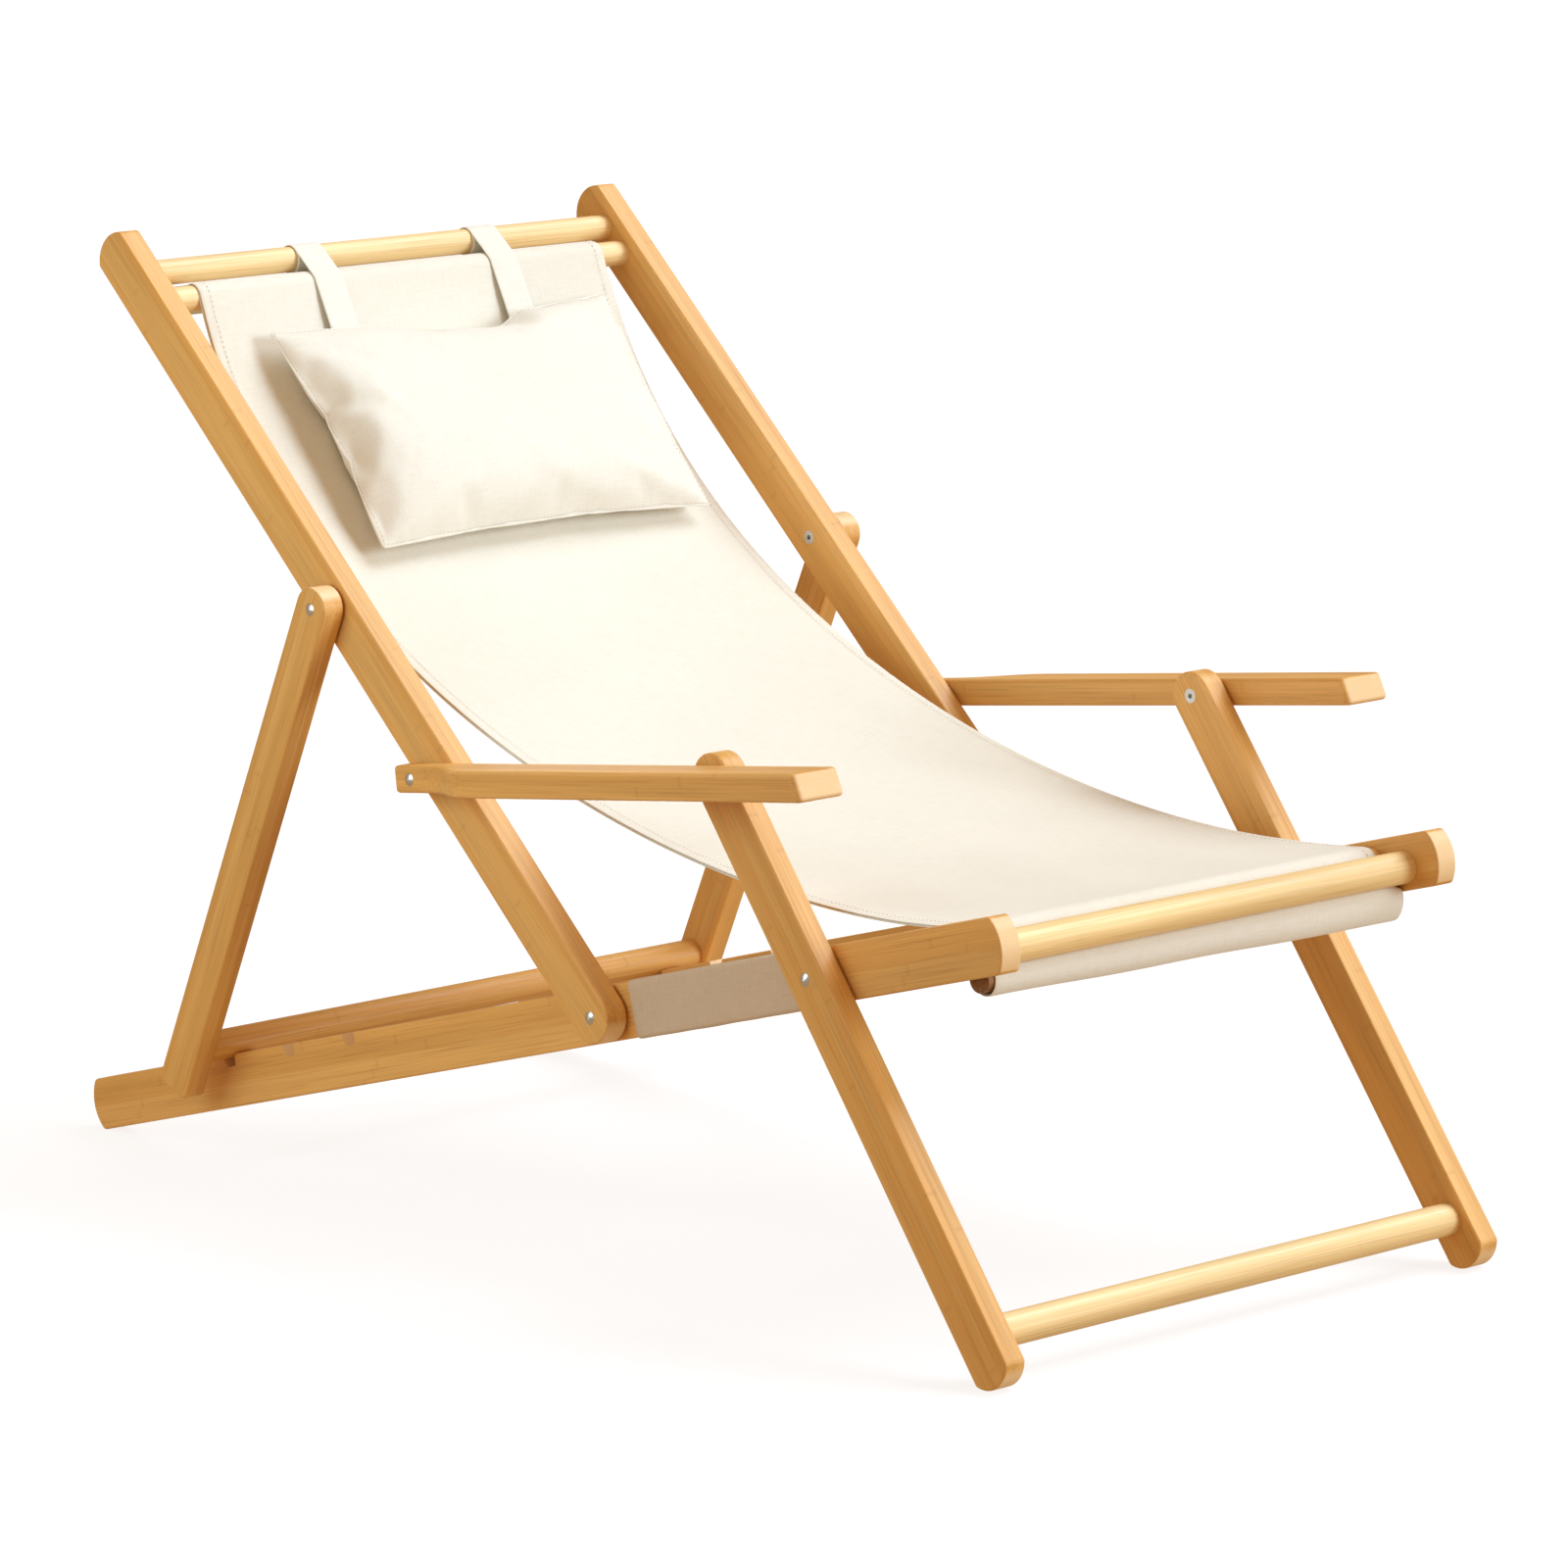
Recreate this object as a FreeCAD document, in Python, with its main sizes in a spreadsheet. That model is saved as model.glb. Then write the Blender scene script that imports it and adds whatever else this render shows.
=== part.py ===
"""Folding sling chair: bamboo frames, pivot hardware, canvas sling, head pillow and a rail band.

Frame: +Z up, the chair faces -Y, X runs across it, origin on the floor under its middle.
The side of the chair is drawn in a plane with "u" forward (-Y) and "z" up.
Boards lie side by side in three layers: base rails inside, back rails and legs next to
them, and stand legs and armrests outside. Right-hand pieces (-X) are drawn, left-hand
ones are their mirror images.
"""
import FreeCAD, Part
import math
import os
import Sketcher

Vector = FreeCAD.Vector

# Driving sizes, in millimetres and degrees
SIZES = {
    # frames across the chair
    "half_width": 240.0,          # middle of the chair to the inner faces of back rails and legs
    "board_thickness": 20.0,
    "layer_gap": 2.2,
    # distances between pivots
    "base_pivot_span": 245.0,     # back pivot to leg pivot, on the base rail
    "back_arm_span": 240.0,       # back pivot to armrest pivot, on the back rail
    "back_arm_offset": 6.0,       # the armrest pivot sits this far behind the back rail's middle line
    "leg_arm_span": 167.0,        # leg pivot to armrest pivot, on the leg
    "back_stand_span": 404.6,     # back pivot to stand pivot, on the back rail
    "stand_span": 411.5,          # stand pivot to the stand's crossbar
    # reach of the boards past their pivots
    "base_tail": 112.2,           # last notch to the rear tip
    "base_nose": 35.3,            # front crossbar to the front tip
    "back_tip": 38.0,             # top crossbar to the top
    "foot_tip": 40.0,             # foot crossbar to the foot
    "stand_tail": 36.0,
    "arm_reach": 465.0,
    "arm_tail": 19.0,
    # depths of the boards in the side plane
    "base_depth": 42.0,
    "back_depth": 40.0,
    "leg_depth": 38.0,
    "stand_depth": 34.0,
    "arm_depth": 21.0,
    "arm_width": 45.0,
    "arm_tongue_length": 100.0,
    "arm_rake": 7.0,              # the front end leans back this much over its depth
    "arm_corner": 5.0,
    "arm_edge": 3.0,
    "rail_crown": 33.0,           # radius of a base rail's shallow rounded end
    "back_crown": 26.0,
    "foot_crown": 23.0,
    "end_corner": 5.0,
    "board_edge": 1.8,
    # notches in the base rails
    "notch_count": 4,
    "notch_pitch": 78.0,
    "notch_first": 318.8,         # back pivot to the most upright notch
    "notch_used": 2,              # the crossbar rests this many notches behind the first
    "notch_mouth": 16.0,
    "notch_floor": 11.0,
    "notch_depth": 9.5,
    # dowels
    "top_dowel_radius": 10.25,
    "front_dowel_radius": 12.5,
    "stand_dowel_radius": 12.0,
    "tenon": 12.0,
    "tenon_fit": 0.1,
    "top_bar_reach": 747.0,       # back pivot to the top crossbar
    "top_bar_slit": 8.5,          # the cloth passes between a crossbar and its guide dowel
    "front_bar_reach": 394.7,     # back pivot to the front crossbar, along the base rail
    "front_bar_drop": 3.0,
    "front_bar_slit": 8.6,
    "front_guide_angle": 11.6,    # the guide dowel lies this far above the rail's line
    "foot_bar_reach": 290.0,      # leg pivot to the foot crossbar
    # pivot hardware
    "sleeve_radius": 4.0,
    "sleeve_wall": 1.6,
    "flange_radius": 5.6,
    "flange_thickness": 1.8,
    "socket_radius": 2.2,
    "socket_depth": 3.0,
    "head_radius": 5.0,
    "head_sunk": 1.2,
    "head_proud": 1.7,
    "thread_gap": 2.0,
    "running_fit": 0.05,
    "washer_radius": 9.5,
    "washer_fit": 0.1,
    "insert_wall": 2.5,
    "insert_length": 24.0,
    "open_pivot_play": 3.1,
    # canvas sling
    "sling_side_gap": 5.8,        # cloth to the base rails, at each side
    "sling_thickness": 1.6,
    "soft_gap": 0.3,
    "sling_top_angle": 71.0,      # slope of the cloth where it leaves the top guide dowel
    "sling_front_angle": 7.0,     # slope of the cloth where it reaches the front guide dowel
    "sling_top_pull": 300.0,
    "sling_front_pull": 322.0,
    "sling_split": 0.6,           # share of the curve that hangs on the back frame
    "rod_radius": 10.0,
    "rod_overhang": 4.5,          # the rods stand out of the cloth at both sides
    "front_rod_angle": 23.0,      # the front rod lies this far behind the plumb line of its crossbar
    # head pillow
    "pillow_half_width": 174.0,
    "pillow_height": 206.0,
    "pillow_shift": 11.0,         # the pillow hangs this far to the left of the chair's middle
    "pillow_drop": 39.6,          # top guide dowel to the pillow's top seam, along the cloth
    "pillow_top_lift": 15.5,      # the top seam stands this far off the cloth
    "pillow_foot_lift": 14.5,
    "pillow_crown": 36.0,
    "pillow_belly": 26.4,
    "pillow_draw": 5.0,           # the long sides pull in this much between the corners
    "pillow_end_share": 0.22,     # thickness left at the pillow's two ends
    "strap_width": 29.0,
    "strap_offset": 92.0,         # middle of the pillow to the middle of each strap
    "strap_thickness": 1.4,
    "strap_lap": 60.0,            # the straps reach this far down the pillow's back
    # cloth band on one base rail
    "band_start": 25.0,
    "band_length": 185.0,
    "band_thickness": 1.2,
}

# Laws that the driving sizes follow
STAND_OVERTURN = 8.0      # degrees that the folded stand lies past the back rails' line
PILLOW_SECTIONS = (-1.0, -0.82, -0.4, 0.4, 0.82, 1.0)

doc = FreeCAD.newDocument("FoldingChair")
sheet = doc.addObject("Spreadsheet::Sheet", "Sizes")
for row, (name, value) in enumerate(SIZES.items(), start=1):
    sheet.set(f"A{row}", name)
    sheet.set(f"B{row}", str(value))
    sheet.setAlias(f"B{row}", name)
doc.recompute()


def size(name):
    return float(getattr(sheet, name))


# Layout of the side plane: base coordinates first (x forward along the base rail from the
# back pivot, y square to it), then the floor-level frame.

def polar(length, degrees):
    angle = math.radians(degrees)
    return Vector(length * math.cos(angle), length * math.sin(angle), 0)


def circle_meeting(centre_a, radius_a, centre_b, radius_b):
    """Upper meeting point of two circles."""
    line = centre_b - centre_a
    gap = line.Length
    along = (gap ** 2 + radius_a ** 2 - radius_b ** 2) / (2 * gap)
    rise = math.sqrt(radius_a ** 2 - along ** 2)
    unit = line / gap
    square = Vector(-unit.y, unit.x, 0)
    points = [centre_a + unit * along + square * side * rise for side in (1, -1)]
    return max(points, key=lambda point: point.y)


def heading(start, end):
    return math.degrees(math.atan2(end.y - start.y, end.x - start.x))


notch_places = [-(size("notch_first") + i * size("notch_pitch")) for i in range(int(size("notch_count")))]
base_rear = size("base_tail") - notch_places[-1]
base_front = size("front_bar_reach") + size("base_nose")
back_reach = size("top_bar_reach") + size("back_tip")
leg_reach = size("foot_bar_reach") + size("foot_tip")
seat_rise = math.sqrt(size("stand_dowel_radius") ** 2 - (size("notch_mouth") / 2) ** 2)
back_pivot = Vector(0, 0, 0)
leg_pivot = Vector(size("base_pivot_span"), 0, 0)
stand_foot = Vector(notch_places[int(size("notch_used"))],
                    size("base_depth") / 2 + seat_rise + size("soft_gap"), 0)
stand_pivot = circle_meeting(stand_foot, size("stand_span"), back_pivot, size("back_stand_span"))
back_angle = heading(back_pivot, stand_pivot)
arm_rear_pivot = polar(size("back_arm_span"), back_angle) + polar(size("back_arm_offset"), back_angle + 90)
flat_span = size("base_pivot_span") + size("back_arm_span") - size("leg_arm_span")
arm_span = math.hypot(flat_span, size("back_arm_offset"))
arm_front_pivot = circle_meeting(leg_pivot, size("leg_arm_span"), arm_rear_pivot, arm_span)
leg_angle = heading(leg_pivot, arm_front_pivot)
arm_angle = heading(arm_rear_pivot, arm_front_pivot)
stand_angle = heading(stand_pivot, stand_foot)


def crown_corner(tip, depth, crown, corner):
    """Centre of the small round between a board's edge and its crowned end, above the axis."""
    centre = tip - crown
    across = depth / 2 - corner
    return Vector(centre + math.sqrt((crown - corner) ** 2 - across ** 2), across, 0)


rear_round = crown_corner(base_rear, size("base_depth"), size("rail_crown"), size("end_corner"))
rear_contact = Vector(-rear_round.x, -rear_round.y, 0)
foot_centre = leg_pivot - polar(leg_reach - size("foot_crown"), leg_angle)
contact_line = rear_contact - foot_centre
base_slope = (180 - math.degrees(math.asin((size("end_corner") - size("foot_crown")) / contact_line.Length))
              - math.degrees(math.atan2(contact_line.y, contact_line.x))) % 360
tilt = FreeCAD.Rotation(Vector(0, 0, 1), base_slope)
floor_level = tilt.multVec(foot_centre).y - size("foot_crown")
front_extent = tilt.multVec(foot_centre).x + size("foot_crown")
rear_extent = tilt.multVec(Vector(size("rail_crown") - base_rear, 0, 0)).x - size("rail_crown")
middle = (front_extent + rear_extent) / 2


def in_side_plane(point):
    """Base coordinates to (u from the chair's middle, z over the floor)."""
    turned = tilt.multVec(point)
    return Vector(turned.x - middle, turned.y - floor_level, 0)


def in_chair(point, across=0.0):
    """Base coordinates to the chair's own frame."""
    flat = in_side_plane(point)
    return Vector(across, -flat.x, flat.y)


def board_placement(point, degrees, inner_face):
    """Board frame: x along the board, y square to it, z outwards on the right-hand side."""
    angle = math.radians(degrees + base_slope)
    along = Vector(0, -math.cos(angle), math.sin(angle))
    square = Vector(0, math.sin(angle), math.cos(angle))
    turn = FreeCAD.Rotation(along, square, along.cross(square), "ZXY")
    return FreeCAD.Placement(in_chair(point, -inner_face), turn)


# Layers, from the middle of the chair to each board's inner face
layer_step = size("board_thickness") + size("layer_gap")
base_layer = size("half_width") - layer_step
back_layer = size("half_width")
outer_layer = size("half_width") + layer_step


def origin_plane(body, role):
    return next(plane for plane in body.Origin.OriginFeatures if plane.Role == role)


def new_sketch(body, name, role="XY_Plane", lift=0.0):
    sketch = body.newObject("Sketcher::SketchObject", name)
    sketch.AttachmentSupport = [(origin_plane(body, role), "")]
    sketch.MapMode = "FlatFace"
    sketch.AttachmentOffset = FreeCAD.Placement(Vector(0, 0, lift), FreeCAD.Rotation())
    return sketch


def close_outline(sketch, pieces):
    """Adds line and arc pieces that follow each other round a closed outline."""
    indexes = [sketch.addGeometry(piece, False) for piece in pieces]
    for this, following in zip(indexes, indexes[1:] + indexes[:1]):
        ends = [(sketch.getPoint(this, a).distanceToPoint(sketch.getPoint(following, b)), a, b)
                for a in (1, 2) for b in (1, 2)]
        away, a, b = min(ends)
        sketch.addConstraint(Sketcher.Constraint("Coincident", this, a, following, b))
    return indexes


def line(start, end):
    return Part.LineSegment(start, end)


def straight_outline(corners):
    """Lines from corner to corner, and back to the first one."""
    return [line(a, b) for a, b in zip(corners, corners[1:] + corners[:1])]


def bind_radius(sketch, index, value, formula):
    constraint = sketch.addConstraint(Sketcher.Constraint("Radius", index, value))
    sketch.setExpression(f"Constraints[{constraint}]", formula)


def add_holes(body, name, centres, radius, formula, depth_formula=None, lift=0.0, inwards=True):
    """Round pockets; from the inner face by default, right through when no depth is given."""
    before = body.Tip.Shape.Volume
    sketch = new_sketch(body, name + "_sketch", lift=lift)
    for centre in centres:
        index = sketch.addGeometry(Part.Circle(centre, Vector(0, 0, 1), radius), False)
        bind_radius(sketch, index, radius, formula)
    pocket = body.newObject("PartDesign::Pocket", name)
    pocket.Profile = sketch
    pocket.Reversed = inwards
    if depth_formula:
        pocket.Type = 0
        pocket.setExpression("Length", depth_formula)
    else:
        pocket.Type = 1
    doc.recompute()
    if not pocket.Shape.Volume < before:
        raise RuntimeError(f"{body.Label}: {name} cuts nothing")
    return pocket


def crown_end(tip, depth, crown, corner):
    """Pieces of a crowned end at +x, from the lower edge round to the upper one."""
    upper = crown_corner(tip, depth, crown, corner)
    lower = Vector(upper.x, -upper.y, 0)
    reach = math.degrees(math.atan2(upper.y, upper.x - (tip - crown)))
    centre = Vector(tip - crown, 0, 0)
    low_join = centre + polar(crown, -reach)
    high_join = centre + polar(crown, reach)
    half_turn = (reach - 90) / 2
    low_arc = Part.Arc(lower + polar(corner, -90), lower + polar(corner, half_turn - reach), low_join)
    end_arc = Part.Arc(low_join, Vector(tip, 0, 0), high_join)
    high_arc = Part.Arc(high_join, upper + polar(corner, reach - half_turn), upper + polar(corner, 90))
    return [low_arc, end_arc, high_arc]


def round_end(centre_x, depth):
    """A full half-circle end at +x."""
    centre = Vector(centre_x, 0, 0)
    return [Part.Arc(*[centre + polar(depth / 2, angle) for angle in (-90, 0, 90)])]


def square_end(tip, depth, corner):
    """A square-cut end at +x with small round corners."""
    low = Vector(tip - corner, corner - depth / 2, 0)
    high = Vector(tip - corner, depth / 2 - corner, 0)
    return [
        Part.Arc(low + polar(corner, -90), low + polar(corner, -45), low + polar(corner, 0)),
        line(low + polar(corner, 0), high + polar(corner, 0)),
        Part.Arc(high + polar(corner, 0), high + polar(corner, 45), high + polar(corner, 90)),
    ]


def turned_end(pieces):
    """The same end at the other side of the board."""
    half_turn = FreeCAD.Matrix()
    half_turn.rotateZ(math.pi)
    turned = []
    for piece in pieces:
        copy = piece.copy()
        copy.transform(half_turn)
        turned.append(copy)
    return turned


def make_board(label, rear, front, depth, depth_name, placement):
    """Flat board with eased edges: outline pieces for its two ends, padded by the thickness."""
    body = doc.addObject("PartDesign::Body", label)
    body.Label = label
    outline = new_sketch(body, label + "_outline")
    lower = line(rear[-1].EndPoint, front[0].StartPoint)
    upper = line(front[-1].EndPoint, rear[0].StartPoint)
    indexes = close_outline(outline, [lower] + front + [upper] + rear)
    upper_index = indexes[1 + len(front)]
    deep = outline.addConstraint(
        Sketcher.Constraint("DistanceY", indexes[0], 2, upper_index, 1, depth))
    outline.setExpression(f"Constraints[{deep}]", f"Sizes.{depth_name}")
    pad = body.newObject("PartDesign::Pad", label + "_pad")
    pad.Profile = outline
    pad.setExpression("Length", "Sizes.board_thickness")
    doc.recompute()
    faces = (0.0, size("board_thickness"))
    rims = [f"Edge{i + 1}" for i, edge in enumerate(pad.Shape.Edges)
            if any(abs(edge.BoundBox.ZMin - z) + abs(edge.BoundBox.ZMax - z) < 1e-4 for z in faces)]
    ease = body.newObject("PartDesign::Fillet", label + "_eased")
    ease.Base = (pad, rims)
    ease.setExpression("Radius", "Sizes.board_edge")
    body.Placement = placement
    doc.recompute()
    return body


def add_pivot(body, name, centre, side):
    """Hole for a pivot sleeve, with a shallow seat for its flange or for the bolt head."""
    fit = "Sizes.running_fit"
    hole = size("sleeve_radius") + size("running_fit")
    add_holes(body, name, [centre], hole, f"Sizes.sleeve_radius + {fit}")
    if side == "inner":
        seat = size("flange_radius") + size("running_fit")
        add_holes(body, name + "_seat", [centre], seat, f"Sizes.flange_radius + {fit}",
                  "Sizes.flange_thickness")
    if side == "outer":
        seat = size("head_radius") + size("running_fit")
        add_holes(body, name + "_seat", [centre], seat, f"Sizes.head_radius + {fit}", "Sizes.head_sunk",
                  lift=size("board_thickness"), inwards=False)


def add_mortises(body, name, centres, radius_name):
    add_holes(body, name, centres, size(radius_name) + size("tenon_fit"),
              f"Sizes.{radius_name} + Sizes.tenon_fit", "Sizes.tenon")


def mirrored(source, label):
    """Left-hand twin of a right-hand piece."""
    twin = doc.addObject("Part::Mirroring", label)
    twin.Label = label
    twin.Source = source
    twin.Normal = Vector(1, 0, 0)
    twin.Base = Vector(0, 0, 0)
    return twin


def pair(source, label):
    """One node that holds a right-hand piece and its twin."""
    both = doc.addObject("Part::Compound", label)
    both.Label = label
    both.Links = [source, mirrored(source, label + "_twin")]
    return both


nodes = []


# Base frame: two notched rails

def make_base_rail():
    depth = size("base_depth")
    end = ("base_depth", "rail_crown", "end_corner")
    rear = turned_end(crown_end(base_rear, *[size(name) for name in end]))
    front = crown_end(base_front, *[size(name) for name in end])
    rail = make_board("base_rail_right", rear, front, depth, "base_depth",
                      board_placement(back_pivot, 0, base_layer))
    before = rail.Tip.Shape.Volume
    notches = new_sketch(rail, "notches_sketch")
    top = depth / 2
    for place in notch_places:
        front_lip = Vector(place + size("notch_mouth") / 2, top, 0)
        rear_lip = Vector(place - size("notch_mouth") / 2, top, 0)
        floor_front = Vector(front_lip.x - size("board_edge") / 2, top - size("notch_depth"), 0)
        floor_rear = Vector(floor_front.x - size("notch_floor"), floor_front.y, 0)
        clear = Vector(0, size("notch_depth"), 0)
        corners = [floor_rear, floor_front, front_lip, front_lip + clear, rear_lip + clear, rear_lip]
        indexes = close_outline(notches, straight_outline(corners))
        floor = notches.addConstraint(
            Sketcher.Constraint("DistanceX", indexes[0], 1, indexes[0], 2, size("notch_floor")))
        notches.setExpression(f"Constraints[{floor}]", "Sizes.notch_floor")
    cut = rail.newObject("PartDesign::Pocket", "notches")
    cut.Profile = notches
    cut.Type = 1
    cut.Reversed = True
    doc.recompute()
    if not cut.Shape.Volume < before:
        raise RuntimeError("the notches cut nothing")
    add_pivot(rail, "back_pivot_hole", back_pivot, "inner")
    add_pivot(rail, "leg_pivot_hole", leg_pivot, "inner")
    add_mortises(rail, "front_mortises", [front_bar, front_guide], "front_dowel_radius")
    return rail


front_bar = Vector(size("front_bar_reach"), -size("front_bar_drop"), 0)
front_pitch = 2 * size("front_dowel_radius") + size("front_bar_slit")
front_guide = front_bar + polar(front_pitch, 180 - size("front_guide_angle"))
base_rail = make_base_rail()
nodes += [base_rail, mirrored(base_rail, "base_rail_left")]


# Back frame: two long rails with crowned tops

top_guide_reach = size("top_bar_reach") - 2 * size("top_dowel_radius") - size("top_bar_slit")


def make_back_rail():
    rear = turned_end(round_end(0, size("back_depth")))
    front = crown_end(back_reach, size("back_depth"), size("back_crown"), size("end_corner"))
    rail = make_board("back_rail_right", rear, front, size("back_depth"), "back_depth",
                      board_placement(back_pivot, back_angle, back_layer))
    add_pivot(rail, "back_pivot_hole", Vector(0, 0, 0), "outer")
    add_pivot(rail, "arm_pivot_hole", Vector(size("back_arm_span"), size("back_arm_offset"), 0), "inner")
    add_pivot(rail, "stand_pivot_hole", Vector(size("back_stand_span"), 0, 0), "inner")
    places = [Vector(reach, 0, 0) for reach in (size("top_bar_reach"), top_guide_reach)]
    add_mortises(rail, "top_mortises", places, "top_dowel_radius")
    return rail


back_rail = make_back_rail()
nodes += [back_rail, mirrored(back_rail, "back_rail_left")]


# Leg frame: two legs whose tops carry the armrests

def make_leg():
    upper = round_end(size("leg_arm_span"), size("leg_depth"))
    lower = turned_end(crown_end(leg_reach, size("leg_depth"), size("foot_crown"), size("end_corner")))
    leg = make_board("leg_right", lower, upper, size("leg_depth"), "leg_depth",
                     board_placement(leg_pivot, leg_angle, back_layer))
    add_pivot(leg, "leg_pivot_hole", Vector(0, 0, 0), "outer")
    add_pivot(leg, "arm_pivot_hole", Vector(size("leg_arm_span"), 0, 0), "inner")
    add_mortises(leg, "foot_mortise", [Vector(-size("foot_bar_reach"), 0, 0)], "front_dowel_radius")
    return leg


leg = make_leg()
nodes += [leg, mirrored(leg, "leg_left")]


# Stand: two square-footed legs that prop the back

def make_stand_leg():
    top = turned_end(round_end(0, size("stand_depth")))
    foot = square_end(size("stand_span") + size("stand_tail"), size("stand_depth"), size("end_corner"))
    stand = make_board("stand_leg_right", top, foot, size("stand_depth"), "stand_depth",
                       board_placement(stand_pivot, stand_angle, outer_layer))
    add_pivot(stand, "stand_pivot_hole", Vector(0, 0, 0), "outer")
    add_mortises(stand, "crossbar_mortise", [Vector(size("stand_span"), 0, 0)], "stand_dowel_radius")
    return stand


stand_leg = make_stand_leg()
nodes += [stand_leg, mirrored(stand_leg, "stand_leg_left")]


# Armrests: wide boards that narrow to a bolted tongue behind

def make_armrest():
    body = doc.addObject("PartDesign::Body", "armrest_right")
    body.Label = "armrest_right"
    plan = new_sketch(body, "armrest_plan", lift=-size("arm_depth") / 2)
    inner = -outer_layer
    tongue = inner - size("board_thickness")
    outer = inner - size("arm_width")
    back = -size("arm_tail")
    front = size("arm_reach")
    level = size("arm_depth") / 2
    corner = size("arm_corner")
    neck = Vector(size("arm_tongue_length"), outer, 0)
    shoulder = Vector(size("washer_radius"), tongue, 0)
    sweep = ((neck.x - shoulder.x) ** 2 + (neck.y - shoulder.y) ** 2) / (4 * (shoulder.y - neck.y))
    hollow = Vector(shoulder.x, tongue - sweep, 0)
    swell = Vector(neck.x, outer + sweep, 0)
    reach = heading(hollow, swell)
    turn = (shoulder + neck) / 2
    inside = Vector(front, inner, 0)
    outside = Vector(front, outer, 0)
    heel = Vector(back + corner, tongue + corner, 0)
    close_outline(plan, [
        Part.Arc(shoulder, hollow + polar(sweep, (90 + reach) / 2), turn),
        Part.Arc(turn, swell + polar(sweep, (reach - 180 - 90) / 2), neck),
        line(neck, outside),
        line(outside, inside),
        line(inside, Vector(back, inner, 0)),
        line(Vector(back, inner, 0), heel + polar(corner, 180)),
        Part.Arc(heel + polar(corner, 180), heel + polar(corner, 225), heel + polar(corner, 270)),
        line(heel + polar(corner, 270), shoulder),
    ])
    pad = body.newObject("PartDesign::Pad", "armrest_pad")
    pad.Profile = plan
    pad.setExpression("Length", "Sizes.arm_depth")
    doc.recompute()
    lean = Vector(size("arm_rake"), -2 * level, 0)
    top_lip = Vector(front - size("arm_rake"), level, 0) - lean
    toe = top_lip + lean * 3
    past = Vector(2 * size("arm_rake"), 0, 0)
    corners = [top_lip, toe, toe + past, top_lip + past * 2]
    side_view = new_sketch(body, "armrest_rake_sketch", "XZ_Plane")
    close_outline(side_view, straight_outline(corners))
    rake = body.newObject("PartDesign::Pocket", "armrest_rake")
    rake.Profile = side_view
    rake.Type = 1
    rake.Midplane = True
    doc.recompute()
    if not rake.Shape.Volume < pad.Shape.Volume:
        raise RuntimeError("the armrest's raked end cuts nothing")
    slants = [f"Edge{i + 1}" for i, edge in enumerate(rake.Shape.Edges)
              if edge.BoundBox.XMin > front - 2 * size("arm_rake") and edge.BoundBox.ZLength > level]
    rounded = body.newObject("PartDesign::Fillet", "armrest_corners")
    rounded.Base = (rake, slants)
    rounded.setExpression("Radius", "Sizes.arm_corner")
    doc.recompute()
    rims = [f"Edge{i + 1}" for i, edge in enumerate(rounded.Shape.Edges)
            if abs(edge.BoundBox.ZMax - edge.BoundBox.ZMin) < 1e-4
            and abs(abs(edge.BoundBox.ZMax) - level) < 1e-4]
    ease = body.newObject("PartDesign::Fillet", "armrest_eased")
    ease.Base = (rounded, rims)
    ease.setExpression("Radius", "Sizes.arm_edge")
    doc.recompute()
    for name, radius, formula, reach, depth in (
            ("rear_pivot_hole", size("sleeve_radius") + size("running_fit"),
             "Sizes.sleeve_radius + Sizes.running_fit", 0.0, None),
            ("front_pivot_hole", insert_outer, "Sizes.sleeve_radius - Sizes.sleeve_wall"
             " + Sizes.open_pivot_play + Sizes.insert_wall", arm_span, "Sizes.insert_length"),
            ("rear_pivot_seat", size("head_radius") + size("running_fit"),
             "Sizes.head_radius + Sizes.running_fit", 0.0, "Sizes.head_sunk")):
        before = body.Tip.Shape.Volume
        from_outside = name.endswith("seat")
        face = outer_layer + (size("board_thickness") if from_outside else 0.0)
        sketch = new_sketch(body, name + "_sketch", "XZ_Plane", lift=face)
        index = sketch.addGeometry(Part.Circle(Vector(reach, 0, 0), Vector(0, 0, 1), radius), False)
        bind_radius(sketch, index, radius, formula)
        pocket = body.newObject("PartDesign::Pocket", name)
        pocket.Profile = sketch
        pocket.Reversed = not from_outside
        pocket.Type = 0 if depth else 1
        if depth:
            pocket.setExpression("Length", depth)
        doc.recompute()
        if not pocket.Shape.Volume < before:
            raise RuntimeError(f"armrest: {name} cuts nothing")
    angle = math.radians(arm_angle + base_slope)
    along = Vector(0, -math.cos(angle), math.sin(angle))
    upward = Vector(0, math.sin(angle), math.cos(angle))
    turn = FreeCAD.Rotation(along, upward.cross(along), upward, "ZXY")
    body.Placement = FreeCAD.Placement(in_chair(arm_rear_pivot), turn)
    return body


thread_radius = size("sleeve_radius") - size("sleeve_wall")
insert_inner = thread_radius + size("open_pivot_play")
insert_outer = insert_inner + size("insert_wall")
armrest = make_armrest()
nodes += [armrest, mirrored(armrest, "armrest_left")]


# Dowels across the frames

def make_dowel(label, radius_name, point, length_formula):
    dowel = doc.addObject("Part::Cylinder", label)
    dowel.Label = label
    dowel.setExpression("Radius", f"Sizes.{radius_name}")
    dowel.setExpression("Height", length_formula)
    doc.recompute()
    across = FreeCAD.Rotation(Vector(0, 1, 0), 90)
    dowel.Placement = FreeCAD.Placement(in_chair(point, -float(dowel.Height) / 2), across)
    return dowel


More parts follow.
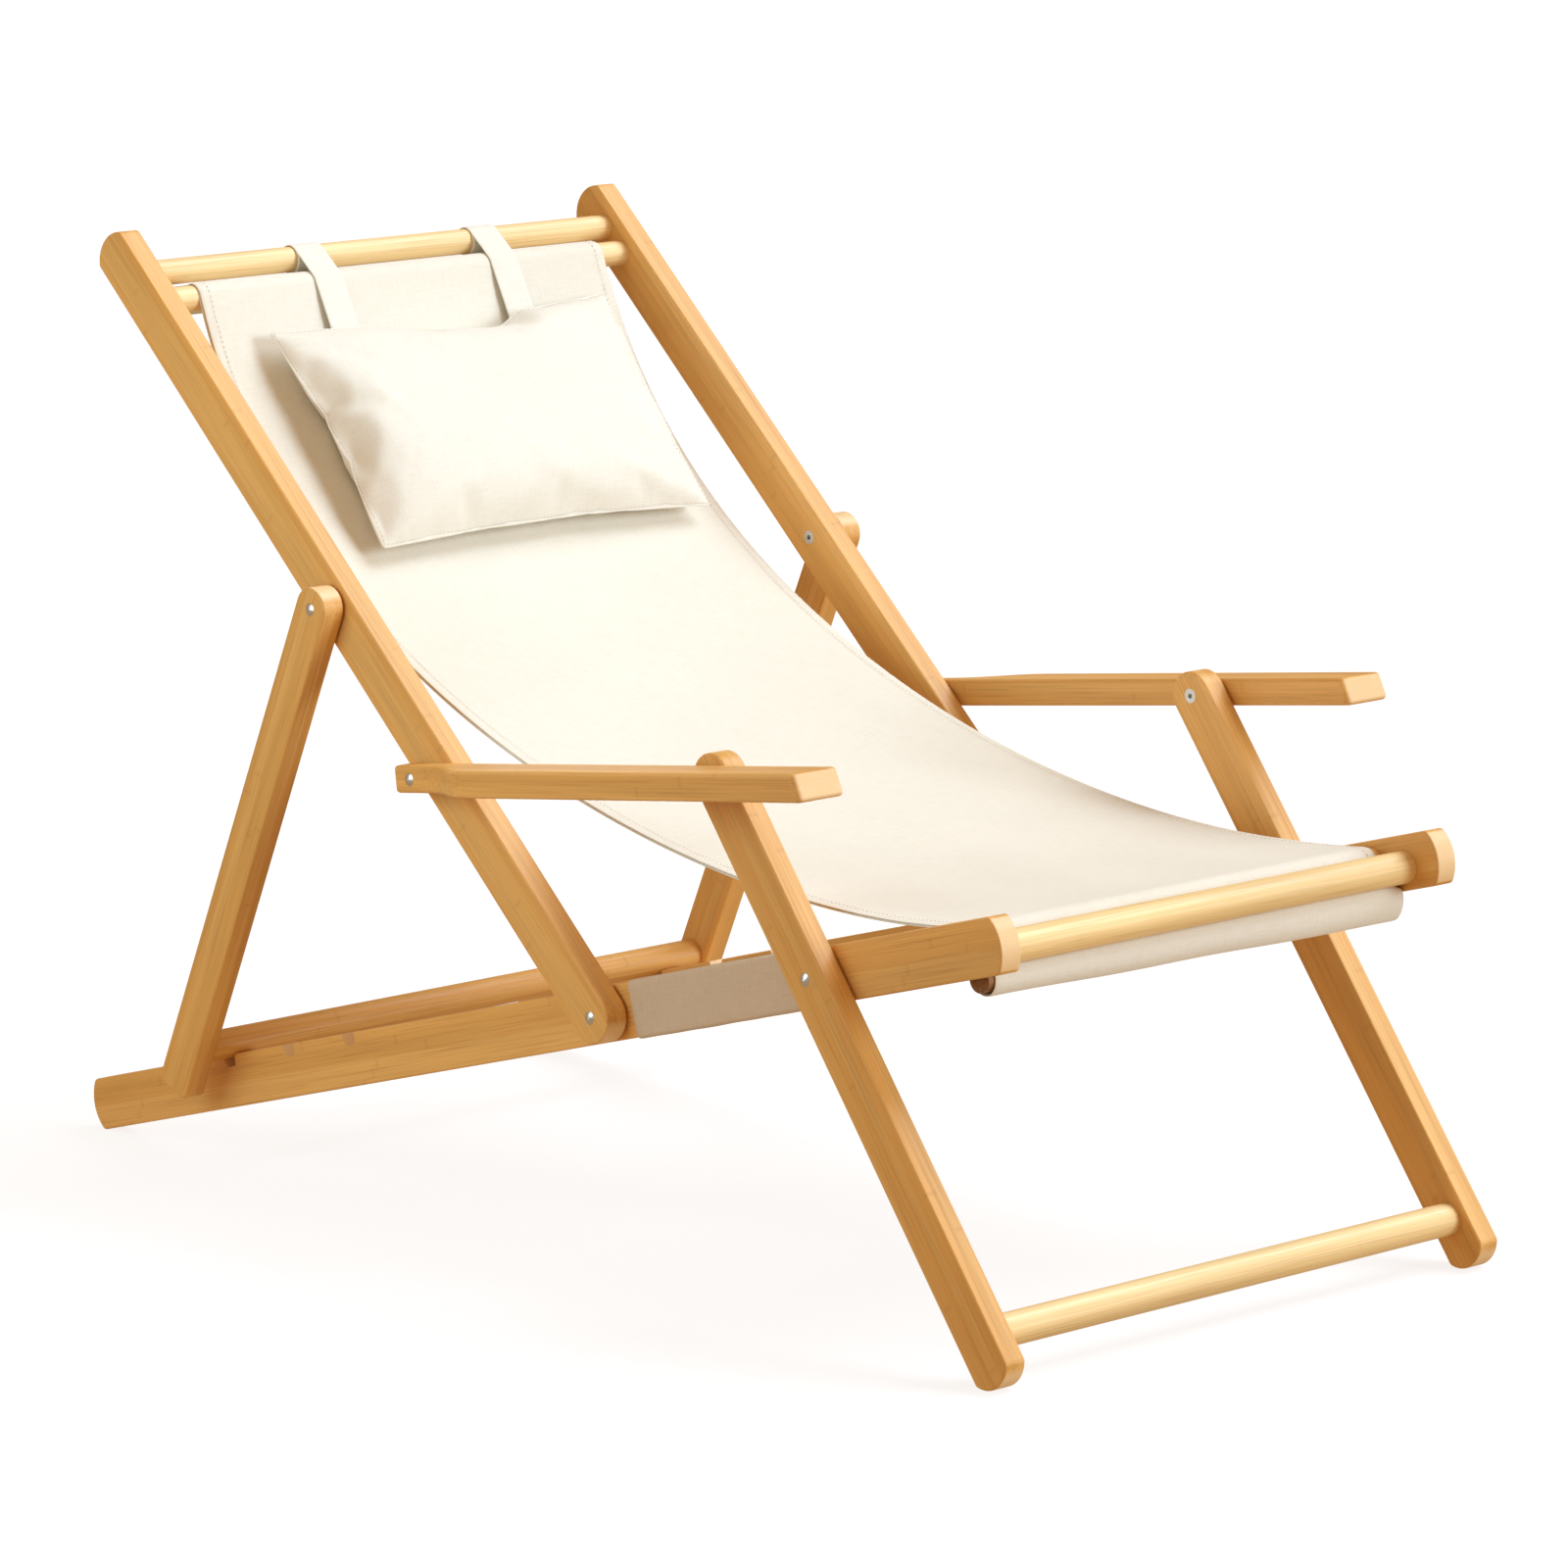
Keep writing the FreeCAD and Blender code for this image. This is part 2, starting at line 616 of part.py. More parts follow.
layer = "(Sizes.board_thickness + Sizes.layer_gap)"
tenons = "Sizes.tenon - Sizes.tenon_fit"
base_length = f"2 * (Sizes.half_width - {layer} + {tenons})"
back_length = f"2 * (Sizes.half_width + {tenons})"
stand_length = f"2 * (Sizes.half_width + {layer} + {tenons})"
top_bar = polar(size("top_bar_reach"), back_angle)
top_guide = polar(top_guide_reach, back_angle)
foot_bar = leg_pivot - polar(size("foot_bar_reach"), leg_angle)
nodes += [
    make_dowel("front_crossbar", "front_dowel_radius", front_bar, base_length),
    make_dowel("front_guide_dowel", "front_dowel_radius", front_guide, base_length),
    make_dowel("top_crossbar", "top_dowel_radius", top_bar, back_length),
    make_dowel("top_guide_dowel", "top_dowel_radius", top_guide, back_length),
    make_dowel("foot_crossbar", "front_dowel_radius", foot_bar, back_length),
    make_dowel("stand_crossbar", "stand_dowel_radius", stand_foot, stand_length),
]


# Pivot hardware: a flanged sleeve nut from the inside, a domed bolt from the outside

def turned_piece(label, profile, placement):
    """Solid of revolution about the piece's own z axis, from a closed profile in its x-z plane."""
    body = doc.addObject("PartDesign::Body", label)
    body.Label = label
    sketch = new_sketch(body, label + "_profile", "XZ_Plane")
    close_outline(sketch, profile)
    spin = body.newObject("PartDesign::Revolution", label + "_turned")
    spin.Profile = sketch
    spin.ReferenceAxis = (sketch, ["V_Axis"])
    spin.Angle = 360
    body.Placement = placement
    doc.recompute()
    return body


def stepped_profile(points):
    """Closed profile of straight steps, from pairs of radius and height."""
    return straight_outline([Vector(x, y, 0) for x, y in points])


def add_socket(body, across):
    """Six-sided socket in the flange face."""
    before = body.Tip.Shape.Volume
    sketch = new_sketch(body, body.Label + "_socket_sketch")
    close_outline(sketch, straight_outline([polar(across, 60 * i) for i in range(6)]))
    pocket = body.newObject("PartDesign::Pocket", body.Label + "_socket")
    pocket.Profile = sketch
    pocket.Reversed = True
    pocket.setExpression("Length", "Sizes.socket_depth")
    doc.recompute()
    if not pocket.Shape.Volume < before:
        raise RuntimeError(f"{body.Label}: the socket cuts nothing")


def outward_placement(point, inner_face):
    """Piece frame with z outwards on the right-hand side."""
    return FreeCAD.Placement(in_chair(point, -inner_face), FreeCAD.Rotation(Vector(0, 1, 0), -90))


def make_through_pivot(name, point, inner_face):
    """Sleeve nut, domed bolt and washer through two neighbouring boards."""
    stack = 2 * size("board_thickness") + size("layer_gap")
    sleeve = size("sleeve_radius")
    flange = size("flange_radius")
    lip = size("flange_thickness")
    end = stack - size("head_sunk") - size("running_fit")
    core = size("socket_depth") + size("thread_gap")
    bore = thread_radius + size("running_fit")
    nut = turned_piece(f"{name}_sleeve_right", stepped_profile([
        (0, 0), (flange, 0), (flange, lip), (sleeve, lip), (sleeve, end), (bore, end), (bore, core),
        (0, core)]), outward_placement(point, inner_face))
    add_socket(nut, size("socket_radius"))
    head = size("head_radius")
    seat = stack - size("head_sunk")
    crest = Vector(0, stack + size("head_proud"), 0)
    rim = Vector(head, stack, 0)
    rise = crest.y - stack
    dome = (head ** 2 + rise ** 2) / (2 * rise)
    half = math.degrees(math.asin(head / dome)) / 2
    shoulder = Vector(0, crest.y - dome, 0) + polar(dome, 90 - half)
    tip = core + size("thread_gap")
    outline = [
        line(Vector(0, tip, 0), Vector(thread_radius, tip, 0)),
        line(Vector(thread_radius, tip, 0), Vector(thread_radius, seat, 0)),
        line(Vector(thread_radius, seat, 0), Vector(head, seat, 0)),
        line(Vector(head, seat, 0), rim),
        Part.Arc(rim, shoulder, crest),
        line(crest, Vector(0, tip, 0)),
    ]
    bolt = turned_piece(f"{name}_bolt_right", outline, outward_placement(point, inner_face))
    washer = make_washer(name, point, inner_face + size("board_thickness"))
    return [pair(nut, f"{name}_sleeves"), pair(bolt, f"{name}_bolts"), pair(washer, f"{name}_washers")]


def make_washer(name, point, face):
    hole = size("sleeve_radius") + size("running_fit")
    play = size("washer_fit")
    thick = size("layer_gap") - play
    return turned_piece(f"{name}_washer_right", stepped_profile([
        (hole, play), (size("washer_radius"), play), (size("washer_radius"), thick), (hole, thick)]),
        outward_placement(point, face))


def make_blind_pivot(name, point, inner_face):
    """Flanged bolt through the leg into a bushing sunk in the armrest."""
    lip = size("flange_thickness")
    thick = size("board_thickness")
    tip = thick + size("layer_gap") + size("insert_length") - size("thread_gap")
    sleeve = size("sleeve_radius")
    flange = size("flange_radius")
    root = thick + size("layer_gap") - size("washer_fit")
    bolt = turned_piece(f"{name}_bolt_right", stepped_profile([
        (0, 0), (flange, 0), (flange, lip), (sleeve, lip), (sleeve, root), (thread_radius, root),
        (thread_radius, tip), (0, tip)]), outward_placement(point, inner_face))
    add_socket(bolt, size("socket_radius"))
    washer = make_washer(name, point, inner_face + thick)
    start = size("running_fit")
    bushing = turned_piece(f"{name}_bushing_right", stepped_profile([
        (insert_inner, start), (insert_outer, start), (insert_outer, size("insert_length")),
        (insert_inner, size("insert_length"))]), outward_placement(point, outer_layer))
    return [pair(bolt, f"{name}_bolts"), pair(washer, f"{name}_washers"), pair(bushing, f"{name}_bushings")]


nodes += make_through_pivot("back_pivot", back_pivot, base_layer)
nodes += make_through_pivot("leg_pivot", leg_pivot, base_layer)
nodes += make_through_pivot("arm_rear_pivot", arm_rear_pivot, back_layer)
nodes += make_through_pivot("stand_pivot", stand_pivot, back_layer)
nodes += make_blind_pivot("arm_front_pivot", arm_front_pivot, back_layer)


# Canvas sling: a loop round a loose rod at each end, a wrap over each guide dowel and a hanging curve

def flat_face(edges):
    return Part.Face(Part.Wire(Part.__sortEdges__(edges)))


def ring(centre, inner, outer):
    return Part.Face([Part.Wire(Part.Edge(Part.Circle(centre, Vector(0, 0, 1), outer))),
                      Part.Wire(Part.Edge(Part.Circle(centre, Vector(0, 0, 1), inner)))])


def ring_sector(centre, inner, outer, start, end):
    """Part of a ring between two headings, in degrees, turning left from start to end."""
    mid = (start + end) / 2
    inside = Part.Arc(*[centre + polar(inner, a) for a in (start, mid, end)])
    outside = Part.Arc(*[centre + polar(outer, a) for a in (start, mid, end)])
    return flat_face([inside.toShape(), outside.toShape(),
                      line(inside.StartPoint, outside.StartPoint).toShape(),
                      line(inside.EndPoint, outside.EndPoint).toShape()])


def strip(start, end, side, thickness):
    """Straight band from start to end, with its thickness to the left (1) or right (-1)."""
    unit = (end - start).normalize()
    shift = Vector(-unit.y, unit.x, 0) * thickness * side
    corners = [start, end, end + shift, start + shift]
    return Part.Face(Part.makePolygon(corners + corners[:1]))


def rod_seat(bar, bar_radius, guide, guide_radius, wrap, side):
    """Centre of a wrapped rod that lies against a crossbar and its guide; side -1 is behind them."""
    reach = wrap + size("soft_gap")
    pick = circle_meeting(bar, bar_radius + reach, guide, guide_radius + reach)
    axis = (guide - bar).normalize()
    square = Vector(-axis.y, axis.x, 0)
    offset = (pick - bar).dot(square)
    return pick + square * (side * abs(offset) - offset)


cloth = size("sling_thickness")
gap = size("soft_gap")
pocket_inner = size("rod_radius") + gap
pocket_outer = pocket_inner + cloth
top_radius = size("top_dowel_radius") + gap
front_radius = size("front_dowel_radius") + gap
front_rod = front_bar + polar(front_radius + pocket_outer, -90 - size("front_rod_angle") - base_slope)
strapped_radius = top_radius + size("strap_thickness")
top_rod = rod_seat(top_bar, strapped_radius, top_guide, size("top_dowel_radius"), pocket_outer, -1)
fall = -size("sling_top_angle") - base_slope
rise = size("sling_front_angle") - base_slope


def hanging_curve(drop):
    """Cloth between the guide dowels; drop 0 is its lower face, the thickness is its upper face."""
    start = top_guide + polar(top_radius + drop, fall + 90)
    end = front_guide + polar(front_radius + drop, rise + 90)
    pulls = (start + polar(size("sling_top_pull"), fall), end - polar(size("sling_front_pull"), rise))
    curve = Part.BezierCurve()
    curve.setPoles([start, pulls[0], pulls[1], end])
    return curve


def curve_span(first, last):
    """Face of the hanging cloth between two shares of its curve."""
    lower, upper = hanging_curve(0.0), hanging_curve(cloth)
    for curve in (lower, upper):
        curve.segment(first, last)
    return flat_face([lower.toShape(), upper.toShape(),
                      line(lower.value(0), upper.value(0)).toShape(),
                      line(lower.value(1), upper.value(1)).toShape()])


def tail_sector(guide, radius, rod, start, turn):
    """Wrap over a guide dowel and the straight run from it to the rod's pocket."""
    towards = heading(guide, rod)
    away = (rod - guide).Length
    lean = math.degrees(math.acos((radius + cloth / 2) / away))
    leave = towards + turn * lean
    sweep = (leave - start) % 360 if turn < 0 else (start - leave) % 360
    first, last = (start, start + sweep) if turn < 0 else (start - sweep, start)
    wrap = ring_sector(guide, radius, radius + cloth, first, last)
    contact = guide + polar(radius, leave)
    target = rod + polar(pocket_inner + cloth / 2, heading(rod, contact))
    run = strip(contact, target, turn, cloth)
    return wrap, run


def placed(solid, middle_x=0.0):
    """A solid drawn over the side plane in base coordinates, set into the chair's frame."""
    turn = FreeCAD.Rotation(Vector(0, -1, 0), Vector(0, 0, 1), Vector(-1, 0, 0), "ZXY").multiply(tilt)
    shape = solid.copy()
    shape.Placement = FreeCAD.Placement(in_chair(Vector(0, 0, 0), middle_x), turn).multiply(solid.Placement)
    return shape


def across_chair(faces, half_width, middle_x=0.0):
    """One solid of overlapping side-plane faces, spread across the chair."""
    solids = []
    for face in faces:
        upright = face if face.normalAt(0, 0).z > 0 else face.reversed()
        solids.append(upright.extrude(Vector(0, 0, 2 * half_width)))
    joined = solids[0].multiFuse(solids[1:]).removeSplitter()
    joined.translate(Vector(0, 0, -half_width))
    return placed(joined.Solids[0], middle_x)


def add_feature(label, shape):
    feature = doc.addObject("Part::Feature", label)
    feature.Label = label
    feature.Shape = shape
    return feature


def make_sling():
    half = base_layer - size("sling_side_gap")
    split = size("sling_split")
    lap = gap / 1000.0
    top_wrap, top_run = tail_sector(top_guide, top_radius, top_rod, fall + 90, -1)
    front_wrap, front_run = tail_sector(front_guide, front_radius, front_rod, rise + 90, 1)
    back = [curve_span(0.0, split - lap), top_wrap, top_run, ring(top_rod, pocket_inner, pocket_outer)]
    seat = [curve_span(split + lap, 1.0), front_wrap, front_run, ring(front_rod, pocket_inner, pocket_outer)]
    return [add_feature("sling_back", across_chair(back, half)),
            add_feature("sling_seat", across_chair(seat, half))]


rod_length = f"2 * (Sizes.half_width - {layer} - Sizes.sling_side_gap + Sizes.rod_overhang)"
nodes += make_sling()
nodes += [
    make_dowel("sling_top_rod", "rod_radius", top_rod, rod_length),
    make_dowel("sling_front_rod", "rod_radius", front_rod, rod_length),
]


# Head pillow: lens-shaped sections, drawn in towards both ends, and two straps from the top crossbar

def pillow_frame():
    """Middle of the top seam, and the pillow's own directions down the cloth and away from it."""
    curve = hanging_curve(cloth + gap)
    steps = 400
    points = [curve.value(i / steps) for i in range(steps + 1)]
    targets = [size("pillow_drop"), size("pillow_drop") + size("pillow_height")]
    marks = []
    length = 0.0
    for here, following in zip(points, points[1:]):
        length += (following - here).Length
        if len(marks) < 2 and length >= targets[len(marks)]:
            marks.append(following)
    cloth_line = (marks[1] - marks[0]).normalize()
    off = Vector(-cloth_line.y, cloth_line.x, 0)
    top = marks[0] + off * size("pillow_top_lift")
    foot = marks[1] + off * size("pillow_foot_lift")
    down = (foot - top).normalize()
    return top, down, Vector(-down.y, down.x, 0)


def pillow_section(share):
    """Fullness, and how far the long sides pull in, at a share of the pillow's half width."""
    full = 1 - (1 - size("pillow_end_share")) * share ** 4
    draw = (1 - abs(share) ** 3) * size("pillow_draw")
    return full, draw


def make_pillow():
    top, down, out = pillow_frame()
    height = size("pillow_height")
    sections = []
    for share in PILLOW_SECTIONS:
        full, draw = pillow_section(share)
        start = top + down * draw
        end = top + down * (height - draw)
        mid = top + down * (height / 2)
        crown = mid + out * (size("pillow_crown") * full)
        belly = mid - out * (size("pillow_belly") * full)
        wire = Part.Wire([Part.Arc(start, crown, end).toShape(), Part.Arc(end, belly, start).toShape()])
        wire.translate(Vector(0, 0, share * size("pillow_half_width")))
        sections.append(wire)
    return add_feature("pillow", placed(Part.makeLoft(sections, True), size("pillow_shift")))


def make_strap(label, middle_x):
    """Closed loop round the top crossbar, over the cloth on the guide dowel and down the pillow's back."""
    top, down, out = pillow_frame()
    thick = size("strap_thickness")
    bar_radius = size("top_dowel_radius") + gap
    guide_radius = top_radius + cloth + gap
    inner_edge = (size("strap_offset") - size("strap_width") / 2) / size("pillow_half_width")
    full, draw = pillow_section(inner_edge)
    half_height = size("pillow_height") / 2
    belly = size("pillow_belly") * full
    bulge = ((half_height - draw) ** 2 + belly ** 2) / (2 * belly)
    sunk = math.sqrt(bulge ** 2 - (half_height - size("strap_lap")) ** 2) - (bulge - belly)
    target = top + down * size("strap_lap") - out * (sunk + gap + thick)
    spread = top_guide - top_bar
    enter = heading(top_bar, top_guide) + math.degrees(math.acos((bar_radius - guide_radius) / spread.Length))
    lean = math.degrees(math.acos(guide_radius / (target - top_guide).Length))
    leave = heading(top_guide, target) + lean
    faces = [
        ring(top_bar, bar_radius, bar_radius + thick),
        strip(top_bar + polar(bar_radius, enter), top_guide + polar(guide_radius, enter), 1, thick),
        ring_sector(top_guide, guide_radius, guide_radius + thick, leave, enter),
        strip(top_guide + polar(guide_radius, leave), target, 1, thick),
    ]
    return add_feature(label, across_chair(faces, size("strap_width") / 2, middle_x))


nodes.append(make_pillow())
nodes += [
    make_strap("pillow_strap_right", size("pillow_shift") - size("strap_offset")),
    make_strap("pillow_strap_left", size("pillow_shift") + size("strap_offset")),
]


# Cloth band round the right-hand base rail, between the back rail and the leg

def make_band():
    wall = size("band_thickness")
    depth = size("base_depth") + 2 * gap
    width = size("board_thickness") + 2 * gap
    outer = doc.addObject("Part::Box", "band_outside")
    inner = doc.addObject("Part::Box", "band_inside")
    for box, grow in ((outer, "2 * Sizes.soft_gap + 2 * Sizes.band_thickness"),
                      (inner, "2 * Sizes.soft_gap")):
        box.setExpression("Length", "Sizes.band_length")
        box.setExpression("Width", f"Sizes.base_depth + {grow}")
        box.setExpression("Height", f"Sizes.board_thickness + {grow}")
    start = Vector(size("band_start"), 0, 0)
    place = board_placement(start, 0, base_layer)
    for box, extra in ((outer, wall), (inner, 0.0)):
        corner = Vector(0, -depth / 2 - extra, -gap - extra)
        box.Placement = place.multiply(FreeCAD.Placement(corner, FreeCAD.Rotation()))
    band = doc.addObject("Part::Cut", "rail_band")
    band.Label = "rail_band"
    band.Base = outer
    band.Tool = inner
    return band


nodes.append(make_band())
doc.recompute()

# Every object has to be sound before anything is written
failed = [item.Name for item in doc.Objects if "Invalid" in item.State or "Error" in item.State]
if failed:
    raise RuntimeError(f"failed objects: {failed}")
os.makedirs("parts", exist_ok=True)
for node in nodes:
    if node.Shape.isNull() or not node.Shape.isValid():
        raise RuntimeError(f"bad shape: {node.Label}")
for node in nodes:
    node.Shape.exportStep(f"parts/{node.Label}.step")

# Pivot places in the chair's frame, and the turns that fold the chair flat
pivots = {
    "back_pivot": back_pivot,
    "leg_pivot": leg_pivot,
    "arm_rear_pivot": arm_rear_pivot,
    "arm_front_pivot": arm_front_pivot,
    "stand_pivot": stand_pivot,
    "stand_foot": stand_foot,
}
for name, point in pivots.items():
    print(name, [round(value, 4) for value in in_chair(point)])
flat_arm_angle = math.degrees(math.atan2(size("back_arm_offset"), flat_span))
back_turn = 180 - back_angle
turns = {
    "back": back_turn,
    "leg": 180 - leg_angle,
    "arm": flat_arm_angle - arm_angle - back_turn,
    "stand": -((stand_angle - back_angle) % 360 + STAND_OVERTURN),
    "arm slope": arm_angle + base_slope,
    "base slope": base_slope,
}
for name, turn in turns.items():
    print(name, round(turn, 5))
print("nodes", len(nodes))
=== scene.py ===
import bpy
import bmesh
import math
from mathutils import Matrix, Vector
from mathutils.geometry import interpolate_bezier


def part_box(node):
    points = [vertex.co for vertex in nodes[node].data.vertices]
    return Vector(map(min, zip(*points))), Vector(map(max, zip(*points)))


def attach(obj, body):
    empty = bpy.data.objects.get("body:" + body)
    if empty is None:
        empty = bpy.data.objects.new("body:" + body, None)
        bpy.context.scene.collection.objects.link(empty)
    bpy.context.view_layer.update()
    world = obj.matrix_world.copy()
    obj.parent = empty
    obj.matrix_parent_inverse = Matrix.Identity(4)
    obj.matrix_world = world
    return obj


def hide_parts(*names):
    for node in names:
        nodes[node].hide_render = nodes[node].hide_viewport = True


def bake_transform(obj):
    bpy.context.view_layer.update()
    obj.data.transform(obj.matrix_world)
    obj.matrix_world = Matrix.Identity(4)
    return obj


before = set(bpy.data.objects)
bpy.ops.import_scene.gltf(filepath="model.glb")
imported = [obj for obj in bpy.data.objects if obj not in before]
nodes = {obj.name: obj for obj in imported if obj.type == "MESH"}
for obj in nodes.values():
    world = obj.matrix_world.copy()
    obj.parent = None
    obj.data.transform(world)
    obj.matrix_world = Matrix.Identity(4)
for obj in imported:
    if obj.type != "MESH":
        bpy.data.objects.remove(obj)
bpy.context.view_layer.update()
scene = bpy.context.scene
print("frame loaded:", len(nodes), "nodes")


# colours are given as they look on a screen
def tint(red, green, blue):
    def linear(value):
        value /= 255
        return value / 12.92 if value <= 0.04045 else ((value + 0.055) / 1.055) ** 2.4
    return (linear(red), linear(green), linear(blue), 1.0)


# small helpers for the material graphs
def newMaterial(name):
    material = bpy.data.materials.new(name)
    material.use_nodes = True
    tree = material.node_tree
    return material, tree, tree.nodes["Principled BSDF"]


def addNode(tree, kind, settings=None, links=None, values=None):
    made = tree.nodes.new(kind)
    for key, value in (settings or {}).items():
        setattr(made, key, value)
    for key, value in (values or {}).items():
        made.inputs[key].default_value = value
    for key, source in (links or {}).items():
        tree.links.new(source, made.inputs[key])
    return made


def sums(tree, operation, first, second):
    made = addNode(tree, "ShaderNodeMath", {"operation": operation})
    for index, value in enumerate((first, second)):
        if isinstance(value, (int, float)):
            made.inputs[index].default_value = value
        elif value is not None:
            tree.links.new(value, made.inputs[index])
    return made.outputs[0]


def mixColour(tree, factor, first, second, mode="MIX"):
    made = addNode(tree, "ShaderNodeMix", {"data_type": "RGBA", "blend_type": mode})
    for index, value in ((0, factor), (6, first), (7, second)):
        if hasattr(value, "is_linked"):
            tree.links.new(value, made.inputs[index])
        else:
            made.inputs[index].default_value = value
    return made.outputs[2]


def ramp(tree, source, stops):
    made = addNode(tree, "ShaderNodeValToRGB", links={"Fac": source})
    elements = made.color_ramp.elements
    while len(elements) < len(stops):
        elements.new(0.5)
    for element, (place, colour) in zip(elements, stops):
        element.position = place
        element.color = colour
    return made.outputs["Color"]


def grey(value):
    return (value, value, value, 1.0)


# bamboo: narrow glued strips, straight fibres, faint knuckles and paler end grain
grain = {
    "toneShare": 0.45,
    "fibreScale": (900.0, 9.0, 900.0),
    "streakScale": (70.0, 3.0, 70.0),
    "streakShare": 0.75,
    "knuckleShift": 3.7,
    "knuckleWidth": 0.009,
    "speckScale": 1500.0,
    "bump": 0.12,
    "bumpDistance": 0.0004,
    "coatRoughness": 0.28,
}
boardBamboo = {
    "pale": tint(239, 191, 119),
    "middle": tint(228, 172, 95),
    "warm": tint(211, 150, 72),
    "fibre": tint(160, 101, 43),
    "endGrain": tint(246, 223, 189),
    "stripWidth": 0.0078,
    "layerWidth": 0.0104,
    "knuckleSpacing": 0.31,
    "knuckle": 0.16,
    "gloss": 0.1,
    "shine": 0.3,
}
turnedBamboo = {
    "pale": tint(252, 228, 178),
    "middle": tint(248, 216, 156),
    "warm": tint(239, 197, 128),
    "fibre": tint(188, 128, 58),
    "endGrain": tint(246, 222, 182),
    "stripWidth": 0.011,
    "layerWidth": 0.011,
    "knuckleSpacing": 0.43,
    "knuckle": 0.05,
    "gloss": 0.2,
    "shine": 0.4,
}


def bambooMaterial(name, turn, bamboo):
    material, tree, shader = newMaterial(name)
    place = addNode(tree, "ShaderNodeTexCoord")
    board = addNode(tree, "ShaderNodeMapping", {"vector_type": "POINT"},
                    {"Vector": place.outputs["Object"]}, {"Rotation": turn}).outputs[0]
    facing = addNode(tree, "ShaderNodeMapping", {"vector_type": "VECTOR"},
                     {"Vector": place.outputs["Normal"]}, {"Rotation": turn}).outputs[0]
    split = addNode(tree, "ShaderNodeSeparateXYZ", links={0: board})
    across, along, deep = split.outputs
    layer = sums(tree, "FLOOR", sums(tree, "DIVIDE", across, bamboo["layerWidth"]), None)
    strip = sums(tree, "FLOOR", sums(tree, "DIVIDE", deep, bamboo["stripWidth"]), None)
    cell = addNode(tree, "ShaderNodeCombineXYZ", links={0: layer, 1: strip}).outputs[0]
    shade = addNode(tree, "ShaderNodeTexWhiteNoise", {"noise_dimensions": "3D"}, {"Vector": cell})
    stripTone = ramp(tree, shade.outputs["Value"],
                     [(0.0, bamboo["warm"]), (0.5, bamboo["middle"]), (1.0, bamboo["pale"])])
    toneBase = mixColour(tree, grain["toneShare"], bamboo["middle"], stripTone)
    stretched = addNode(tree, "ShaderNodeMapping", {"vector_type": "POINT"}, {"Vector": board},
                        {"Scale": grain["fibreScale"]}).outputs[0]
    fibre = addNode(tree, "ShaderNodeTexNoise", links={"Vector": stretched},
                    values={"Scale": 1.0, "Detail": 3.0, "Roughness": 0.6}).outputs["Fac"]
    fibreMask = ramp(tree, fibre, [(0.48, grey(0.0)), (0.74, grey(0.42))])
    withFibres = mixColour(tree, fibreMask, toneBase, bamboo["fibre"])
    cloudy = addNode(tree, "ShaderNodeMapping", {"vector_type": "POINT"}, {"Vector": board},
                     {"Scale": grain["streakScale"]}).outputs[0]
    streak = addNode(tree, "ShaderNodeTexNoise", links={"Vector": cloudy},
                     values={"Scale": 1.0, "Detail": 2.0}).outputs["Fac"]
    streakTone = ramp(tree, streak, [(0.3, grey(0.86)), (0.7, grey(1.1))])
    streaked = mixColour(tree, grain["streakShare"], withFibres, streakTone, "MULTIPLY")
    shift = sums(tree, "MULTIPLY", shade.outputs["Value"], grain["knuckleShift"])
    paces = sums(tree, "DIVIDE", along, bamboo["knuckleSpacing"])
    beat = sums(tree, "FRACT", sums(tree, "ADD", paces, shift), None)
    near = sums(tree, "ABSOLUTE", sums(tree, "SUBTRACT", beat, 0.5), None)
    knuckle = ramp(tree, near, [(0.0, grey(bamboo["knuckle"])), (grain["knuckleWidth"], grey(0.0))])
    knuckled = mixColour(tree, knuckle, streaked, bamboo["fibre"])
    facingSplit = addNode(tree, "ShaderNodeSeparateXYZ", links={0: facing})
    endFace = sums(tree, "ABSOLUTE", facingSplit.outputs[1], None)
    endMask = ramp(tree, endFace, [(0.72, grey(0.0)), (0.9, grey(0.85))])
    speck = addNode(tree, "ShaderNodeTexNoise", links={"Vector": board},
                    values={"Scale": grain["speckScale"], "Detail": 2.0}).outputs["Fac"]
    endTone = mixColour(tree, speck, bamboo["pale"], bamboo["endGrain"])
    colour = mixColour(tree, endMask, knuckled, endTone)
    tree.links.new(colour, shader.inputs["Base Color"])
    gloss = ramp(tree, fibre, [(0.3, grey(0.36)), (0.8, grey(0.52))])
    tree.links.new(gloss, shader.inputs["Roughness"])
    bump = addNode(tree, "ShaderNodeBump", links={"Height": fibre},
                   values={"Strength": grain["bump"], "Distance": grain["bumpDistance"]})
    tree.links.new(bump.outputs[0], shader.inputs["Normal"])
    shader.inputs["Specular IOR Level"].default_value = bamboo["shine"]
    shader.inputs["Coat Weight"].default_value = bamboo["gloss"]
    shader.inputs["Coat Roughness"].default_value = grain["coatRoughness"]
    return material


# woven canvas: plain weave, slubs along both threads and a soft sheen
weaving = {
    "slubScales": ((60.0, 900.0, 1.0), (900.0, 60.0, 1.0)),
    "wornScale": 9.0,
    "threadShare": 0.6,
    "bumpDistance": 0.0003,
    "roughness": 0.88,
    "sheen": 0.25,
    "sheenRoughness": 0.5,
    "shine": 0.25,
}


